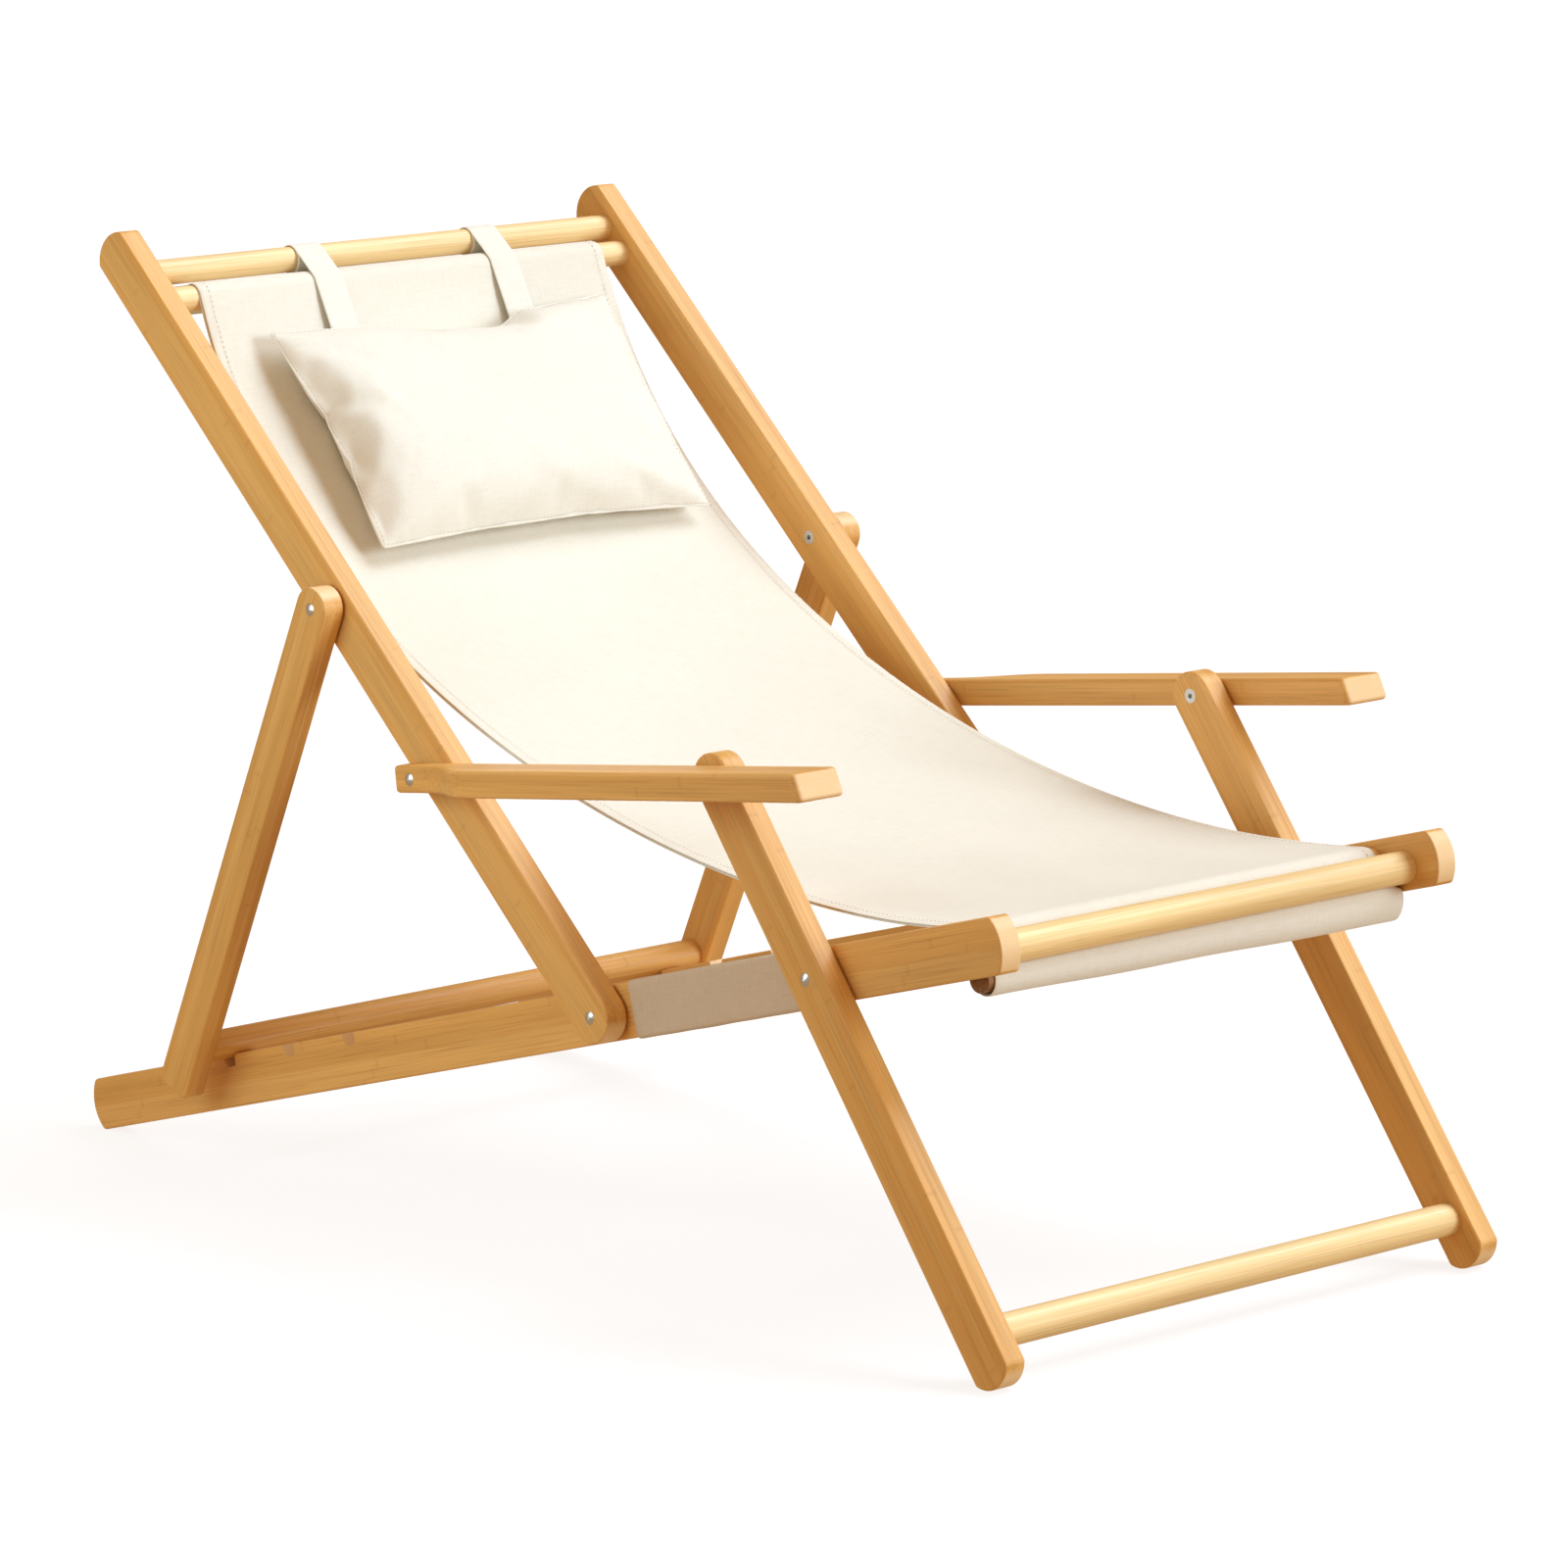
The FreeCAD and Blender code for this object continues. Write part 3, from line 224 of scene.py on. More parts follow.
def canvasMaterial(name, light, dark, threadWidth, weaveDepth):
    material, tree, shader = newMaterial(name)
    flat = addNode(tree, "ShaderNodeUVMap", {"uv_map": "clothLay"}).outputs[0]
    split = addNode(tree, "ShaderNodeSeparateXYZ", links={0: flat})
    turns = 2 * math.pi / threadWidth
    warp = sums(tree, "SINE", sums(tree, "MULTIPLY", split.outputs[0], turns), None)
    weft = sums(tree, "SINE", sums(tree, "MULTIPLY", split.outputs[1], turns), None)
    weave = sums(tree, "MULTIPLY", warp, weft)
    slubs = []
    for scale in weaving["slubScales"]:
        stretch = addNode(tree, "ShaderNodeMapping", {"vector_type": "POINT"}, {"Vector": flat},
                          {"Scale": scale})
        slubs.append(addNode(tree, "ShaderNodeTexNoise", links={"Vector": stretch.outputs[0]},
                             values={"Scale": 1.0, "Detail": 2.0}).outputs["Fac"])
    slub = sums(tree, "MULTIPLY", sums(tree, "ADD", slubs[0], slubs[1]), 0.5)
    tone = ramp(tree, slub, [(0.36, dark), (0.56, light)])
    worn = addNode(tree, "ShaderNodeTexNoise", links={"Vector": flat},
                   values={"Scale": weaving["wornScale"], "Detail": 3.0})
    wornTone = ramp(tree, worn.outputs["Fac"], [(0.3, grey(0.965)), (0.7, grey(1.0))])
    toned = mixColour(tree, 1.0, tone, wornTone, "MULTIPLY")
    threadTone = ramp(tree, sums(tree, "MULTIPLY_ADD", weave, 0.5), [(0.0, grey(0.95)), (1.0, grey(1.0))])
    colour = mixColour(tree, weaving["threadShare"], toned, threadTone, "MULTIPLY")
    tree.links.new(colour, shader.inputs["Base Color"])
    height = sums(tree, "ADD", sums(tree, "MULTIPLY", weave, 0.5), slub)
    bump = addNode(tree, "ShaderNodeBump", links={"Height": height},
                   values={"Strength": weaveDepth, "Distance": weaving["bumpDistance"]})
    tree.links.new(bump.outputs[0], shader.inputs["Normal"])
    shader.inputs["Roughness"].default_value = weaving["roughness"]
    shader.inputs["Sheen Weight"].default_value = weaving["sheen"]
    shader.inputs["Sheen Roughness"].default_value = weaving["sheenRoughness"]
    shader.inputs["Specular IOR Level"].default_value = weaving["shine"]
    return material


# sewing thread, brushed zinc and the rods, whose dark brown is painted shade for the rod ends seen deep in
# the pocket shadow
thread = {"light": tint(240, 235, 223), "dark": tint(219, 211, 194), "twist": 2500.0, "roughness": 0.8}
zinc = {"brush": (300.0, 2600.0, 2600.0), "dark": tint(186, 186, 184), "light": tint(222, 222, 220),
        "roughness": (0.22, 0.36)}
# rod colour: a dark brown that is painted shade, standing in for the deep shadow inside the sling pockets
rodShadeBrown = {"grain": (8.0, 500.0, 500.0), "dark": tint(112, 78, 46), "light": tint(158, 114, 70),
            "bump": 0.2, "bumpDistance": 0.0004, "roughness": 0.62}


def threadMaterial(name):
    material, tree, shader = newMaterial(name)
    place = addNode(tree, "ShaderNodeTexCoord").outputs["Object"]
    twist = addNode(tree, "ShaderNodeTexNoise", links={"Vector": place},
                    values={"Scale": thread["twist"]}).outputs["Fac"]
    tree.links.new(mixColour(tree, twist, thread["light"], thread["dark"]), shader.inputs["Base Color"])
    shader.inputs["Roughness"].default_value = thread["roughness"]
    return material


def steelMaterial(name):
    material, tree, shader = newMaterial(name)
    place = addNode(tree, "ShaderNodeTexCoord").outputs["Object"]
    brushed = addNode(tree, "ShaderNodeMapping", {"vector_type": "POINT"}, {"Vector": place},
                      {"Scale": zinc["brush"]}).outputs[0]
    grainNoise = addNode(tree, "ShaderNodeTexNoise", links={"Vector": brushed},
                         values={"Scale": 1.0}).outputs["Fac"]
    colour = ramp(tree, grainNoise, [(0.3, zinc["dark"]), (0.7, zinc["light"])])
    tree.links.new(colour, shader.inputs["Base Color"])
    smoothest, roughest = zinc["roughness"]
    roughness = ramp(tree, grainNoise, [(0.3, grey(smoothest)), (0.7, grey(roughest))])
    tree.links.new(roughness, shader.inputs["Roughness"])
    shader.inputs["Metallic"].default_value = 1.0
    return material


def rodMaterial(name):
    material, tree, shader = newMaterial(name)
    place = addNode(tree, "ShaderNodeTexCoord").outputs["Object"]
    stretched = addNode(tree, "ShaderNodeMapping", {"vector_type": "POINT"}, {"Vector": place},
                        {"Scale": rodShadeBrown["grain"]}).outputs[0]
    grainNoise = addNode(tree, "ShaderNodeTexNoise", links={"Vector": stretched},
                         values={"Scale": 1.0, "Detail": 3.0}).outputs["Fac"]
    colour = ramp(tree, grainNoise, [(0.3, rodShadeBrown["dark"]), (0.7, rodShadeBrown["light"])])
    tree.links.new(colour, shader.inputs["Base Color"])
    bump = addNode(tree, "ShaderNodeBump", links={"Height": grainNoise},
                   values={"Strength": rodShadeBrown["bump"], "Distance": rodShadeBrown["bumpDistance"]})
    tree.links.new(bump.outputs[0], shader.inputs["Normal"])
    shader.inputs["Roughness"].default_value = rodShadeBrown["roughness"]
    return material


# headings of the boards in the chair's side plane, in degrees
boardTurns = {"base_rail": 15.96, "back_rail": 137.3, "leg": 127.1, "armrest": 7.62, "stand_leg": -114.0}
turned = {key: bambooMaterial(key + "Bamboo", (math.radians(angle), 0.0, 0.0), boardBamboo)
          for key, angle in boardTurns.items()}
acrossChair = (0.0, 0.0, math.radians(90))
dowelBamboo = bambooMaterial("dowelBamboo", acrossChair, turnedBamboo)
standBarBamboo = bambooMaterial("standBarBamboo", acrossChair, boardBamboo)
steel = steelMaterial("zincSteel")
# the rods get the dark brown painted shade
rodWood = rodMaterial("brownRod")
canvas = canvasMaterial("slingCanvas", tint(241, 236, 224), tint(235, 229, 214),
                        threadWidth=0.0011, weaveDepth=0.22)
pillowCanvas = canvasMaterial("pillowCanvas", tint(243, 239, 229), tint(237, 232, 219),
                              threadWidth=0.001, weaveDepth=0.2)
bandCloth = canvasMaterial("taupeCloth", tint(214, 191, 164), tint(206, 182, 154),
                           threadWidth=0.0006, weaveDepth=0.08)
sewingThread = threadMaterial("sewingThread")

for nodeName, item in nodes.items():
    board = next((key for key in boardTurns if nodeName.startswith(key)), None)
    if "pivot" in nodeName:
        finish = steel
    elif board:
        finish = turned[board]
    elif nodeName.endswith("_rod"):
        finish = rodWood
    elif nodeName == "stand_crossbar":
        finish = standBarBamboo
    else:
        finish = dowelBamboo
    item.data.materials.clear()
    item.data.materials.append(finish)
print("materials on the frame")


# side-plane helpers: u runs forward, z up, both in metres
def centreOf(nodeName):
    low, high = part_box(nodeName)
    middle = (low + high) / 2
    return Vector((-middle.y, middle.z)), (high.z - low.z) / 2


def polar(length, degrees):
    angle = math.radians(degrees)
    return Vector((length * math.cos(angle), length * math.sin(angle)))


def heading(start, end):
    return math.degrees(math.atan2(end.y - start.y, end.x - start.x))


def arcPoints(centre, radius, first, last, count):
    return [centre + polar(radius, first + (last - first) * i / (count - 1)) for i in range(count)]


def linePoints(start, end, count):
    return [start.lerp(end, i / (count - 1)) for i in range(count)]


def pathLengths(points):
    lengths = [0.0]
    for a, b in zip(points, points[1:]):
        lengths.append(lengths[-1] + (b - a).length)
    return lengths


def asPoint(flat, across=0.0):
    return Vector((across, -flat.x, flat.y))


def newObject(name, bm, material):
    mesh = bpy.data.meshes.new(name)
    bm.to_mesh(mesh)
    bm.free()
    made = bpy.data.objects.new(name, mesh)
    scene.collection.objects.link(made)
    mesh.materials.append(material)
    for face in mesh.polygons:
        face.use_smooth = True
    return made


# cloth drawn as a side-plane path that is pulled out across the chair in equal steps
def pulledCloth(points, halfWidth, columns, middle=0.0):
    bm = bmesh.new()
    lay = bm.verts.layers.float.new("alongCloth")
    row = [bm.verts.new(asPoint(p, middle - halfWidth)) for p in points]
    for vert, length in zip(row, pathLengths(points)):
        vert[lay] = length
    edges = [bm.edges.new(ends) for ends in zip(row, row[1:])]
    step = Vector((2 * halfWidth / columns, 0, 0))
    for _ in range(columns):
        grown = bmesh.ops.extrude_edge_only(bm, edges=edges)["geom"]
        bmesh.ops.translate(bm, verts=[g for g in grown if isinstance(g, bmesh.types.BMVert)], vec=step)
        edges = [g for g in grown if isinstance(g, bmesh.types.BMEdge)
                 and abs(g.verts[0].co.x - g.verts[1].co.x) < step.x / 2]
    uv = bm.loops.layers.uv.new("clothLay")
    for face in bm.faces:
        for loop in face.loops:
            loop[uv].uv = (loop.vert.co.x, loop.vert[lay])
    bm.normal_update()
    return bm, lay


def finishCloth(item, thickness, levels):
    wall = item.modifiers.new("clothThickness", "SOLIDIFY")
    wall.thickness = thickness
    wall.offset = 0.0
    if levels:
        smooth = item.modifiers.new("clothSmooth", "SUBSURF")
        smooth.levels = levels
        smooth.render_levels = levels


# a row of stitches along points, each a short flattened bead
def stitchRow(bm, points, normals, settings):
    lengths = pathLengths(points)
    place = settings["pitch"] / 2
    index = 0
    while place < lengths[-1]:
        while lengths[index + 1] < place:
            index += 1
        share = (place - lengths[index]) / max(lengths[index + 1] - lengths[index], 1e-9)
        spot = points[index].lerp(points[index + 1], share)
        ahead = (points[index + 1] - points[index]).normalized()
        up = normals[index].lerp(normals[index + 1], share).normalized()
        side = up.cross(ahead).normalized()
        turn = Matrix((ahead, side, up)).transposed().to_4x4()
        halves = (settings["length"] / 2, settings["width"] / 2, settings["width"] * settings["roundness"])
        size = Matrix.Diagonal((*halves, 1.0))
        bmesh.ops.create_icosphere(bm, subdivisions=1, radius=1.0,
                                   matrix=Matrix.Translation(spot + up * settings["lift"]) @ turn @ size)
        place += settings["pitch"]


# the sling: pocket round the top rod, over the guide dowel, a hanging curve, and the same again at the front
sling = {
    "thickness": 0.0015,
    "halfWidth": 0.2118,
    "columns": 56,
    "gap": 0.0003,
    "topFall": -71.0,
    "frontRise": 7.0,
    "topPull": 0.300,
    "frontPull": 0.322,
    "curveSteps": 84,
    "waist": 0.004,
    "belly": 0.0035,
    "ripple": 0.0011,
    "hem": 0.011,
    "stitchInset": 0.0095,
    "forkShare": 0.2,
    "pocketDroop": 0.008,
    "pocketSlant": 0.4,
    "pocketRipple": 0.4,
    "pocketFlare": 0.005,
    "pocketTail": 0.12,
    "wrapSteps": 18,
    "pocketSteps": 30,
    "tailSteps": 6,
    "hemThickness": 0.0008,
    "hemUnder": 0.0004,
    "rowSteps": 170,
    "rowOver": 0.016,
    "bendShares": (0.34, 0.86),
}
# soft waves in the hanging part: where, how wide and high, how many, and how they fade out
slingWaves = [
    {"at": 0.93, "spread": 0.16, "height": 1.0, "waves": 52, "lean": 9, "start": 0.0,
     "end": "front", "rise": 9.0, "calmMiddle": 0.6},
    {"at": 0.10, "spread": 0.09, "height": 0.7, "waves": 38, "lean": 0, "start": 0.8,
     "end": "top", "rise": 14.0, "calmMiddle": 0.0},
    {"at": 0.42, "spread": 0.20, "height": 0.9, "waves": 21, "lean": 6, "start": 0.4,
     "end": "top", "rise": 1000.0, "calmMiddle": 0.0},
]
stitch = {"pitch": 0.0042, "length": 0.0031, "width": 0.0007, "lift": 0.0009, "roundness": 0.42}


def tailPath(guide, radius, rod, pocket, start, turn):
    away = (rod - guide).length
    lean = math.degrees(math.acos(radius / away))
    leave = heading(guide, rod) + turn * lean
    sweep = (leave - start) % 360 if turn < 0 else -((start - leave) % 360)
    wrap = arcPoints(guide, radius, start, start + sweep, sling["wrapSteps"])
    fork = wrap[-1].lerp(rod, sling["forkShare"])
    opening = math.degrees(math.acos(pocket / (rod - fork).length))
    entry = heading(rod, fork)
    first, last = entry - turn * opening, entry - turn * (360 - opening)
    around = arcPoints(rod, pocket, first, last, sling["pocketSteps"])
    run = linePoints(wrap[-1], fork, sling["tailSteps"] // 2)[1:]
    run += linePoints(fork, around[0], sling["tailSteps"])[1:]
    seamEnd = fork + (around[-1] - fork) * sling["pocketTail"]
    back = linePoints(around[-1], seamEnd, sling["tailSteps"])[1:]
    return wrap, run, around[1:] + back


half = sling["thickness"] / 2 + sling["gap"]
topGuide, topRadius = centreOf("top_guide_dowel")
frontGuide, frontRadius = centreOf("front_guide_dowel")
topRod, topRodRadius = centreOf("sling_top_rod")
frontRod, frontRodRadius = centreOf("sling_front_rod")
curveStart = topGuide + polar(topRadius + half, sling["topFall"] + 90)
curveEnd = frontGuide + polar(frontRadius + half, sling["frontRise"] + 90)
startPull = curveStart + polar(sling["topPull"], sling["topFall"])
endPull = curveEnd - polar(sling["frontPull"], sling["frontRise"])
curve = interpolate_bezier(curveStart.to_3d(), startPull.to_3d(), endPull.to_3d(), curveEnd.to_3d(),
                           sling["curveSteps"])
hanging = [p.to_2d() for p in curve]
topTail = tailPath(topGuide, topRadius + half, topRod, topRodRadius + half, sling["topFall"] + 90, -1)
frontTail = tailPath(frontGuide, frontRadius + half, frontRod, frontRodRadius + half,
                     sling["frontRise"] + 90, 1)
topPart = [p for part in topTail for p in part]
frontPart = [p for part in frontTail for p in part]
slingPath = topPart[:0:-1] + hanging + frontPart[1:]
slingLengths = pathLengths(slingPath)
hangFrom = slingLengths[len(topPart) - 1]
hangTo = slingLengths[len(topPart) - 1 + len(hanging) - 1]
pocketFrom = slingLengths[-len(frontTail[2])]


def hangShare(length):
    return min(max((length - hangFrom) / (hangTo - hangFrom), 0.0), 1.0)


def slingShape(x, share, edge):
    dome = math.sin(math.pi * share)
    drop = -sling["belly"] * dome * (1 - edge * edge)
    for wave in slingWaves:
        fromEnd = 1 - share if wave["end"] == "front" else share
        height = sling["ripple"] * wave["height"] * math.exp(-((share - wave["at"]) / wave["spread"]) ** 2)
        height *= math.sin(math.pi / 2 * min(1.0, fromEnd * wave["rise"]))
        height *= 1 - wave["calmMiddle"] * (1 - edge * edge)
        drop += height * math.sin(x * wave["waves"] + share * wave["lean"] + wave["start"])
    narrow = 1 - sling["waist"] / sling["halfWidth"] * dome ** 2
    return drop, narrow


bm, lay = pulledCloth(slingPath, sling["halfWidth"], sling["columns"])
for vert in bm.verts:
    share = hangShare(vert[lay])
    edge = vert.co.x / sling["halfWidth"]
    drop, narrow = slingShape(vert.co.x, share, edge)
    if 0 < share < 1:
        vert.co += vert.normal * (drop if vert.normal.z > 0 else -drop)
    vert.co.x *= narrow
    if vert[lay] > pocketFrom:  # the front pocket hangs lower and wider towards its far end
        below = min(max((frontRod.y + frontRodRadius - vert.co.z) / (2 * frontRodRadius), 0.0), 1.0)
        vert.co.z -= sling["pocketDroop"] * below ** 2 * (0.6 + sling["pocketSlant"] * edge)
        vert.co.z += sling["pocketRipple"] * sling["ripple"] * below * math.sin(vert.co.x * 33 + 1)
        vert.co.x += sling["pocketFlare"] * max(edge, 0.0) ** 4
slingCloth = newObject("slingCloth", bm, canvas)
finishCloth(slingCloth, sling["thickness"], 1)
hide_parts("sling_back", "sling_seat")


# a hem strip lies under each long edge, held by a row of stitches
def clothPoint(place, x, lift):
    index = next(i for i in range(len(slingLengths) - 1) if slingLengths[i + 1] >= place)
    share = (place - slingLengths[index]) / (slingLengths[index + 1] - slingLengths[index])
    flat = slingPath[index].lerp(slingPath[index + 1], share)
    tangent = (slingPath[index + 1] - slingPath[index]).normalized()
    up = asPoint(Vector((-tangent.y, tangent.x)))
    drop, narrow = slingShape(x, hangShare(place), x / sling["halfWidth"])
    inside = 0 < hangShare(place) < 1
    point = asPoint(flat, x * narrow) + up * (lift + (drop if inside else 0.0))
    return point, up


stitches = bmesh.new()
rowFrom, rowTo = hangFrom - sling["rowOver"], hangTo + sling["rowOver"]
spots = [rowFrom + i * (rowTo - rowFrom) / sling["rowSteps"] for i in range(sling["rowSteps"] + 1)]
for side in (-1, 1):
    row = side * (sling["halfWidth"] - sling["stitchInset"])
    placed = [clothPoint(s, row, sling["thickness"] / 2) for s in spots]
    stitchRow(stitches, [p for p, _ in placed], [n for _, n in placed], stitch)
slingStitches = newObject("slingStitches", stitches, sewingThread)

hemMesh = bmesh.new()
hemLay = hemMesh.verts.layers.float.new("alongCloth")
hemUv = hemMesh.loops.layers.uv.new("clothLay")
under = -sling["thickness"] / 2 - sling["hemUnder"]
for side in (-1, 1):
    outer = side * (sling["halfWidth"] + sling["hemUnder"])
    inner = side * (sling["halfWidth"] - sling["hem"])
    row = [hemMesh.verts.new(clothPoint(s, outer, under)[0]) for s in spots]
    for vert, s in zip(row, spots):
        vert[hemLay] = s
    edges = [hemMesh.edges.new(ends) for ends in zip(row, row[1:])]
    grown = bmesh.ops.extrude_edge_only(hemMesh, edges=edges)["geom"]
    for vert in [g for g in grown if isinstance(g, bmesh.types.BMVert)]:
        vert.co = clothPoint(vert[hemLay], inner, under)[0]
for face in hemMesh.faces:
    for loop in face.loops:
        loop[hemUv].uv = (loop.vert.co.x, loop.vert[hemLay])
bmesh.ops.recalc_face_normals(hemMesh, faces=hemMesh.faces)
slingHems = newObject("slingHems", hemMesh, canvas)
finishCloth(slingHems, sling["hemThickness"], 0)
for item in (slingCloth, slingStitches, slingHems):
    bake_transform(item)
print("sling hung, cut length", round(slingLengths[-1], 3))


# head pillow: two sewn panels blown up as cloth, then leaned on the sling
pillow = {
    "width": 0.350,
    "height": 0.206,
    "depth": 0.074,
    "cut": (0.374, 0.226),
    "cells": (92, 56),
    "shift": 0.011,
    "drop": 0.0396,
    "topLift": 0.0155,
    "footLift": 0.0145,
    "pressure": 4.0,
    "frames": 20,
    "mostMove": 0.05,
    "smoothing": 4,
    "rest": 0.0018,
    "keepSquare": 0.15,
    "taper": 0.03,
    "sag": 0.017,
    "sagLean": 2.1,
    "seamWidth": 0.0024,
    "seamThickness": 0.002,
    "panelGap": 0.003,
    "crinkle": 0.0012,
    "rimFrom": 0.499,
    "quickSwell": 0.036,
}
pillowSim = {"quality": 8, "mass": 0.25, "tension_stiffness": 40, "compression_stiffness": 40,
             "shear_stiffness": 12, "bending_stiffness": 0.8}
strap = {"width": 0.029, "thickness": 0.0014, "offset": 0.092, "lap": 0.060, "gap": 0.0003, "columns": 8,
         "loopTurn": 354, "loopSteps": 40, "overSteps": 8, "runSteps": 16}


def pillowPanels():
    bm = bmesh.new()
    bmesh.ops.create_grid(bm, x_segments=pillow["cells"][0], y_segments=pillow["cells"][1], size=0.5)
    bmesh.ops.scale(bm, verts=bm.verts, vec=(pillow["cut"][0], pillow["cut"][1], 1.0))
    uv = bm.loops.layers.uv.new("clothLay")
    for face in bm.faces:
        for loop in face.loops:
            loop[uv].uv = loop.vert.co.xy
    under = bmesh.ops.duplicate(bm, geom=bm.verts[:] + bm.edges[:] + bm.faces[:])["geom"]
    underFaces = [g for g in under if isinstance(g, bmesh.types.BMFace)]
    bmesh.ops.reverse_faces(bm, faces=underFaces)
    underVerts = [g for g in under if isinstance(g, bmesh.types.BMVert)]
    bmesh.ops.translate(bm, verts=underVerts, vec=(0, 0, -pillow["panelGap"]))
    rims = [edge for edge in bm.edges if edge.is_boundary]
    bmesh.ops.bridge_loops(bm, edges=rims)
    spots = [(vert.co.x / pillow["cut"][0], vert.co.y / pillow["cut"][1]) for vert in bm.verts]
    for vert in bm.verts:
        vert.co.z += pillow["crinkle"] * math.sin(vert.co.x * 61 + 1) * math.sin(vert.co.y * 83)
    bmesh.ops.recalc_face_normals(bm, faces=bm.faces)
    return newObject("pillowCover", bm, pillowCanvas), spots


def blowUp(item):
    scene.frame_start, scene.frame_end = 1, pillow["frames"]
    sim = item.modifiers.new("blow", "CLOTH")
    rules = sim.settings
    for rule, value in pillowSim.items():
        setattr(rules, rule, value)
    rules.use_pressure = True
    rules.uniform_pressure_force = pillow["pressure"]
    rules.effector_weights.gravity = 0.0
    sim.collision_settings.use_collision = False
    for step in range(1, pillow["frames"] + 1):
        scene.frame_set(step)
    shaped = bpy.data.meshes.new_from_object(item.evaluated_get(bpy.context.evaluated_depsgraph_get()))
    item.modifiers.clear()
    for before, after in zip(item.data.vertices, shaped.vertices):
        move = after.co - before.co
        if move.length > pillow["mostMove"]:
            after.co = before.co + move.normalized() * pillow["mostMove"]
    flat, item.data = item.data, shaped
    bpy.data.meshes.remove(flat)
    scene.frame_set(1)


def clothMark(length):
    lengths = pathLengths(hanging)
    index = next(i for i, value in enumerate(lengths) if value >= length)
    tangent = (hanging[index] - hanging[index - 1]).normalized()
    return hanging[index] + Vector((-tangent.y, tangent.x)) * (sling["thickness"] / 2)


# the top edge hangs between the two straps, lowest near the far one
def edgeSag(x):
    share = (x + strap["offset"] + strap["width"] / 2) / (2 * strap["offset"])
    if not 0 < share < 1:
        return 0.0
    return pillow["sag"] * math.sin(math.pi * share ** pillow["sagLean"])


def onRim(spot):
    return max(abs(spot[0]), abs(spot[1])) > pillow["rimFrom"]


pillowCover, flatSpots = pillowPanels()
blowUp(pillowCover)

# the blown cover is brought to size, smoothed a little, and gets its flat sewn edge
bm = bmesh.new()
bm.from_mesh(pillowCover.data)
spotX = bm.verts.layers.float.new("spotX")
spotY = bm.verts.layers.float.new("spotY")
spans = [(min(v.co[axis] for v in bm.verts), max(v.co[axis] for v in bm.verts)) for axis in range(3)]
targets = (pillow["width"], pillow["height"], pillow["depth"])
for vert, spot in zip(bm.verts, flatSpots):
    vert[spotX], vert[spotY] = spot
    for axis, (low, high) in enumerate(spans):
        vert.co[axis] = (vert.co[axis] - (low + high) / 2) * targets[axis] / (high - low)
    for axis in (0, 1):
        vert.co[axis] += (spot[axis] * targets[axis] - vert.co[axis]) * pillow["keepSquare"]
inside = [v for v in bm.verts if not onRim((v[spotX], v[spotY]))]
for _ in range(pillow["smoothing"]):
    bmesh.ops.smooth_vert(bm, verts=inside, factor=0.5,
                          use_axis_x=True, use_axis_y=True, use_axis_z=True)
bm.verts.ensure_lookup_table()
panelSize = len(bm.verts) // 2
frontRim = []
for index, vert in enumerate(bm.verts):
    if onRim((vert[spotX], vert[spotY])):
        vert.co.z = pillow["seamThickness"] / 2 * (1 if index < panelSize else -1)
        if index < panelSize:
            frontRim.append(vert)
rimFaces = [f for f in bm.faces if all(onRim((v[spotX], v[spotY])) for v in f.verts)]
grown = bmesh.ops.extrude_face_region(bm, geom=rimFaces)["geom"]
for vert in [g for g in grown if isinstance(g, bmesh.types.BMVert)]:
    for axis, spot in enumerate((vert[spotX], vert[spotY])):
        if abs(spot) > pillow["rimFrom"]:
            vert.co[axis] += math.copysign(pillow["seamWidth"], spot)
frontRim.sort(key=lambda v: math.atan2(v[spotY], v[spotX]))

# it leans on the sling, flat where it touches
marks = clothMark(pillow["drop"]), clothMark(pillow["drop"] + pillow["height"])
lean = (marks[1] - marks[0]).normalized()
off = Vector((-lean.y, lean.x))
seamTop = marks[0] + off * pillow["topLift"]
seamFoot = marks[1] + off * pillow["footLift"]
down = (seamFoot - seamTop).normalized()
out = Vector((-down.y, down.x))
middle = (seamTop + seamFoot) / 2
for vert in bm.verts:
    x = vert.co.x * (1 - pillow["taper"] * (0.5 - vert[spotY]))
    y = vert.co.y - edgeSag(x) * max(2 * vert[spotY], 0.0) ** 3
    flat = middle - down * y + out * vert.co.z
    index = min(range(len(hanging)), key=lambda i: (flat - hanging[i]).length)
    index = min(max(index, 1), len(hanging) - 2)
    tangent = (hanging[index + 1] - hanging[index - 1]).normalized()
    square = Vector((-tangent.y, tangent.x))
    clear = (flat - hanging[index]).dot(square)
    wanted = sling["thickness"] / 2 + pillow["rest"]
    if clear < wanted:
        flat += square * (wanted - clear)
    vert.co = asPoint(flat, x + pillow["shift"])
seamLine = [v.co.copy() for v in frontRim + frontRim[:1]]
bmesh.ops.recalc_face_normals(bm, faces=bm.faces)
bm.to_mesh(pillowCover.data)
bm.free()
pillowCover.data.polygons.foreach_set("use_smooth", [True] * len(pillowCover.data.polygons))
smooth = pillowCover.modifiers.new("coverSmooth", "SUBSURF")
smooth.levels = smooth.render_levels = 1
stitches = bmesh.new()
stitchRow(stitches, seamLine, [asPoint(out)] * len(seamLine), stitch)
pillowStitches = newObject("pillowStitches", stitches, sewingThread)
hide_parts("pillow")
for item in (pillowCover, pillowStitches):
    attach(item, "back")
print("pillow blown up and leaned on the sling")


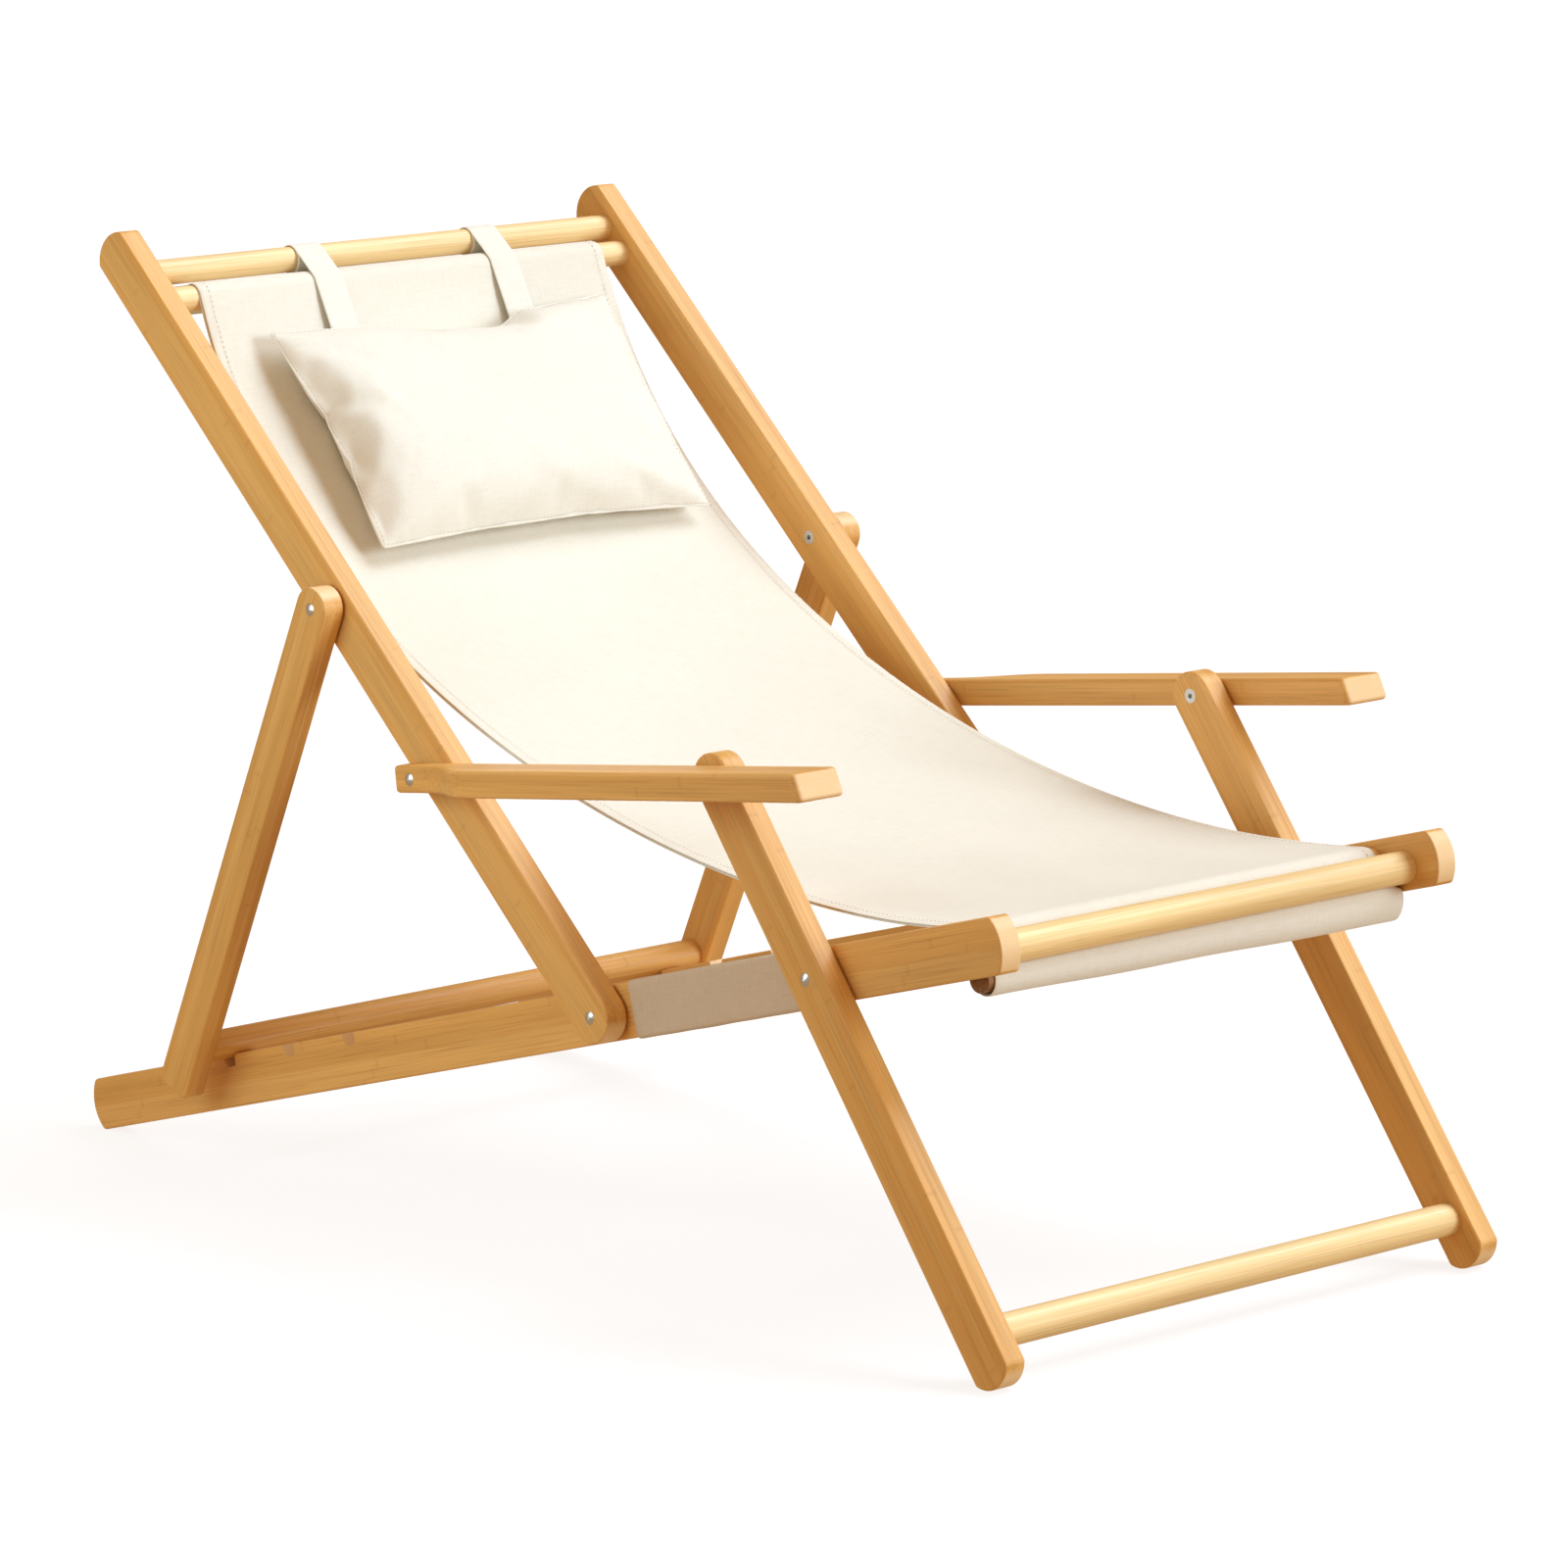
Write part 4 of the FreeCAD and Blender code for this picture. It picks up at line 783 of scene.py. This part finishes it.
# straps: a loop round the top crossbar, over the cloth on the guide dowel and down the pillow's back
def makeStrap(name, x, nodeName):
    barCentre, barRadius = centreOf("top_crossbar")
    onBar = barRadius + strap["gap"] + strap["thickness"] / 2
    onGuide = topRadius + sling["thickness"] + 2 * strap["gap"] + strap["thickness"] / 2
    target = clothMark(pillow["drop"] + strap["lap"]) + off * (strap["gap"] + strap["thickness"] / 2)
    enter = heading(barCentre, topGuide)
    enter += math.degrees(math.acos((onBar - onGuide) / (topGuide - barCentre).length))
    leave = heading(topGuide, target) + math.degrees(math.acos(onGuide / (target - topGuide).length))
    loop = arcPoints(barCentre, onBar, enter + strap["loopTurn"], enter, strap["loopSteps"])
    over = arcPoints(topGuide, onGuide, enter, leave, strap["overSteps"])
    path = loop + linePoints(loop[-1], over[0], 5)[1:-1] + over
    path += linePoints(over[-1], target, strap["runSteps"])[1:]
    bm = pulledCloth(path, strap["width"] / 2, strap["columns"], x)[0]
    made = newObject(name, bm, pillowCanvas)
    finishCloth(made, strap["thickness"], 1)
    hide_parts(nodeName)
    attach(made, "back")


makeStrap("strapRight", pillow["shift"] - strap["offset"], "pillow_strap_right")
makeStrap("strapLeft", pillow["shift"] + strap["offset"], "pillow_strap_left")
print("straps looped")


# blank cloth band round the right base rail
band = {"length": 0.185, "thickness": 0.0010, "corner": 0.003, "steps": 44, "pucker": 0.0004,
        "halfDepth": 0.0218, "halfWidth": 0.0108, "spacing": 0.004, "cornerSteps": 5}


def makeBand():
    low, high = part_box("rail_band")
    turn = math.radians(boardTurns["base_rail"])
    along = Vector((0, -math.cos(turn), math.sin(turn)))
    upright = Vector((0, math.sin(turn), math.cos(turn)))
    centre = (low + high) / 2
    halfDepth, halfWidth = band["halfDepth"], band["halfWidth"]
    bm = bmesh.new()
    lay = bm.verts.layers.float.new("roundCloth")
    ring = []
    for quarter, (sx, sy) in enumerate(((1, 1), (-1, 1), (-1, -1), (1, -1))):
        for i in range(band["cornerSteps"]):
            angle = math.radians(90 * (quarter + i / (band["cornerSteps"] - 1)))
            ring.append((sx * (halfWidth - band["corner"]) + band["corner"] * math.cos(angle),
                         sy * (halfDepth - band["corner"]) + band["corner"] * math.sin(angle)))
    dense = []
    for (ax, ay), (bx, by) in zip(ring, ring[1:] + ring[:1]):
        count = max(1, round(math.hypot(bx - ax, by - ay) / band["spacing"]))
        dense += [(ax + (bx - ax) * i / count, ay + (by - ay) * i / count) for i in range(count)]
    first = centre - along * band["length"] / 2
    verts = [bm.verts.new(first + Vector((x, 0, 0)) + upright * y) for x, y in dense]
    distance = 0.0
    for vert, here, following in zip(verts, dense, dense[1:] + dense[:1]):
        vert[lay] = distance
        distance += math.hypot(following[0] - here[0], following[1] - here[1])
    edges = [bm.edges.new(pair) for pair in zip(verts, verts[1:] + verts[:1])]
    step = along * band["length"] / band["steps"]
    for _ in range(band["steps"]):
        grown = bmesh.ops.extrude_edge_only(bm, edges=edges)["geom"]
        bmesh.ops.translate(bm, verts=[g for g in grown if isinstance(g, bmesh.types.BMVert)], vec=step)
        edges = [g for g in grown if isinstance(g, bmesh.types.BMEdge)
                 and abs((g.verts[0].co - g.verts[1].co).dot(along)) < step.length / 2]
    uv = bm.loops.layers.uv.new("clothLay")
    for face in bm.faces:
        for loop in face.loops:
            loop[uv].uv = ((loop.vert.co - first).dot(along), loop.vert[lay])
    bmesh.ops.recalc_face_normals(bm, faces=bm.faces)
    bm.normal_update()
    for vert in bm.verts:
        s = min(max((vert.co - first).dot(along) / band["length"], 0), 1)
        wave = math.sin(s * 19 + vert[lay] * 40) * math.sin(s * 7 + 1.3)
        fade = math.sin(math.pi * s) ** 0.5  # no pucker at the two ends
        vert.co += vert.normal * band["pucker"] * (0.5 + 0.5 * wave) * fade
    made = newObject("railBand", bm, bandCloth)
    finishCloth(made, band["thickness"], 1)
    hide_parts("rail_band")
    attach(made, "base")


makeBand()
print("band on the rail")


# floor, lights and camera
studio = {
    "floor": tint(137, 137, 138),
    "floorGlow": 0.80,
    "floorSize": 14.0,
    "floorRoughness": 0.9,
    "floorShine": 0.1,
    "wallGlow": 1.05,
    "wallRadius": 13.5,
    "wallHeight": 24.0,
    "worldLight": 0.52,
    "worldTint": (1.0, 0.70, 0.42, 1.0),
}
softSuns = {
    "keySun": {"from": (0.75, -0.35, 1.1), "tint": (0.71, 0.83, 0.95), "strength": 2.4, "spread": 40.0},
    "frontSun": {"from": (0.5, -1.0, 0.3), "tint": (0.70, 0.85, 0.98), "strength": 1.7, "spread": 26.0},
}
sideLamp = {"place": (-1.25, 0.20, 0.70), "aim": (0.95, -0.10, -0.40), "tint": (0.60, 0.85, 1.0),
            "power": 6.4, "size": 0.8}


def paleFinish(name, glow):
    material, _, shader = newMaterial(name)
    shader.inputs["Base Color"].default_value = studio["floor"]
    shader.inputs["Emission Color"].default_value = grey(1.0)
    shader.inputs["Emission Strength"].default_value = glow
    shader.inputs["Roughness"].default_value = studio["floorRoughness"]
    shader.inputs["Specular IOR Level"].default_value = studio["floorShine"]
    return material


floorMesh = bmesh.new()
bmesh.ops.create_grid(floorMesh, x_segments=4, y_segments=4, size=studio["floorSize"])
floor = newObject("floor", floorMesh, paleFinish("paleFloor", studio["floorGlow"]))
wallMesh = bmesh.new()
bmesh.ops.create_cone(wallMesh, cap_ends=False, segments=96, radius1=studio["wallRadius"],
                      radius2=studio["wallRadius"], depth=studio["wallHeight"])
wall = newObject("wall", wallMesh, paleFinish("paleWall", studio["wallGlow"]))
wall.visible_shadow = False
for backdrop in (floor, wall):  # white to the eye, but they throw no light on the chair
    backdrop.visible_diffuse = False
    backdrop.visible_glossy = False
world = bpy.data.worlds.new("studioWorld")
world.use_nodes = True
world.node_tree.nodes["Background"].inputs[0].default_value = studio["worldTint"]
world.node_tree.nodes["Background"].inputs[1].default_value = studio["worldLight"]
scene.world = world
for sunName, light in softSuns.items():
    sunData = bpy.data.lights.new(sunName, "SUN")
    sunData.energy = light["strength"]
    sunData.color = light["tint"]
    sunData.angle = math.radians(light["spread"])
    sun = bpy.data.objects.new(sunName, sunData)
    scene.collection.objects.link(sun)
    sun.rotation_euler = (-Vector(light["from"])).to_track_quat("-Z", "Y").to_euler()
lampData = bpy.data.lights.new("sideLamp", "AREA")
lampData.energy = sideLamp["power"]
lampData.color = sideLamp["tint"]
lampData.size = sideLamp["size"]
lamp = bpy.data.objects.new("sideLamp", lampData)
scene.collection.objects.link(lamp)
lamp.location = sideLamp["place"]
lamp.rotation_euler = Vector(sideLamp["aim"]).to_track_quat("-Z", "Y").to_euler()
lamp.visible_camera = False

view = {"place": (-3.7205, -4.0543, 1.3927), "ahead": (0.66661, 0.72089, -0.18959), "lens": 165.92,
        "sensor": 36.0, "farthest": 100.0}
cameraData = bpy.data.cameras.new("camera")
cameraData.lens = view["lens"]
cameraData.sensor_width = view["sensor"]
cameraData.clip_end = view["farthest"]
camera = bpy.data.objects.new("camera", cameraData)
scene.collection.objects.link(camera)
camera.location = view["place"]
camera.rotation_euler = Vector(view["ahead"]).to_track_quat("-Z", "Y").to_euler()
scene.camera = camera
scene.view_settings.view_transform = "Standard"
print("studio set")
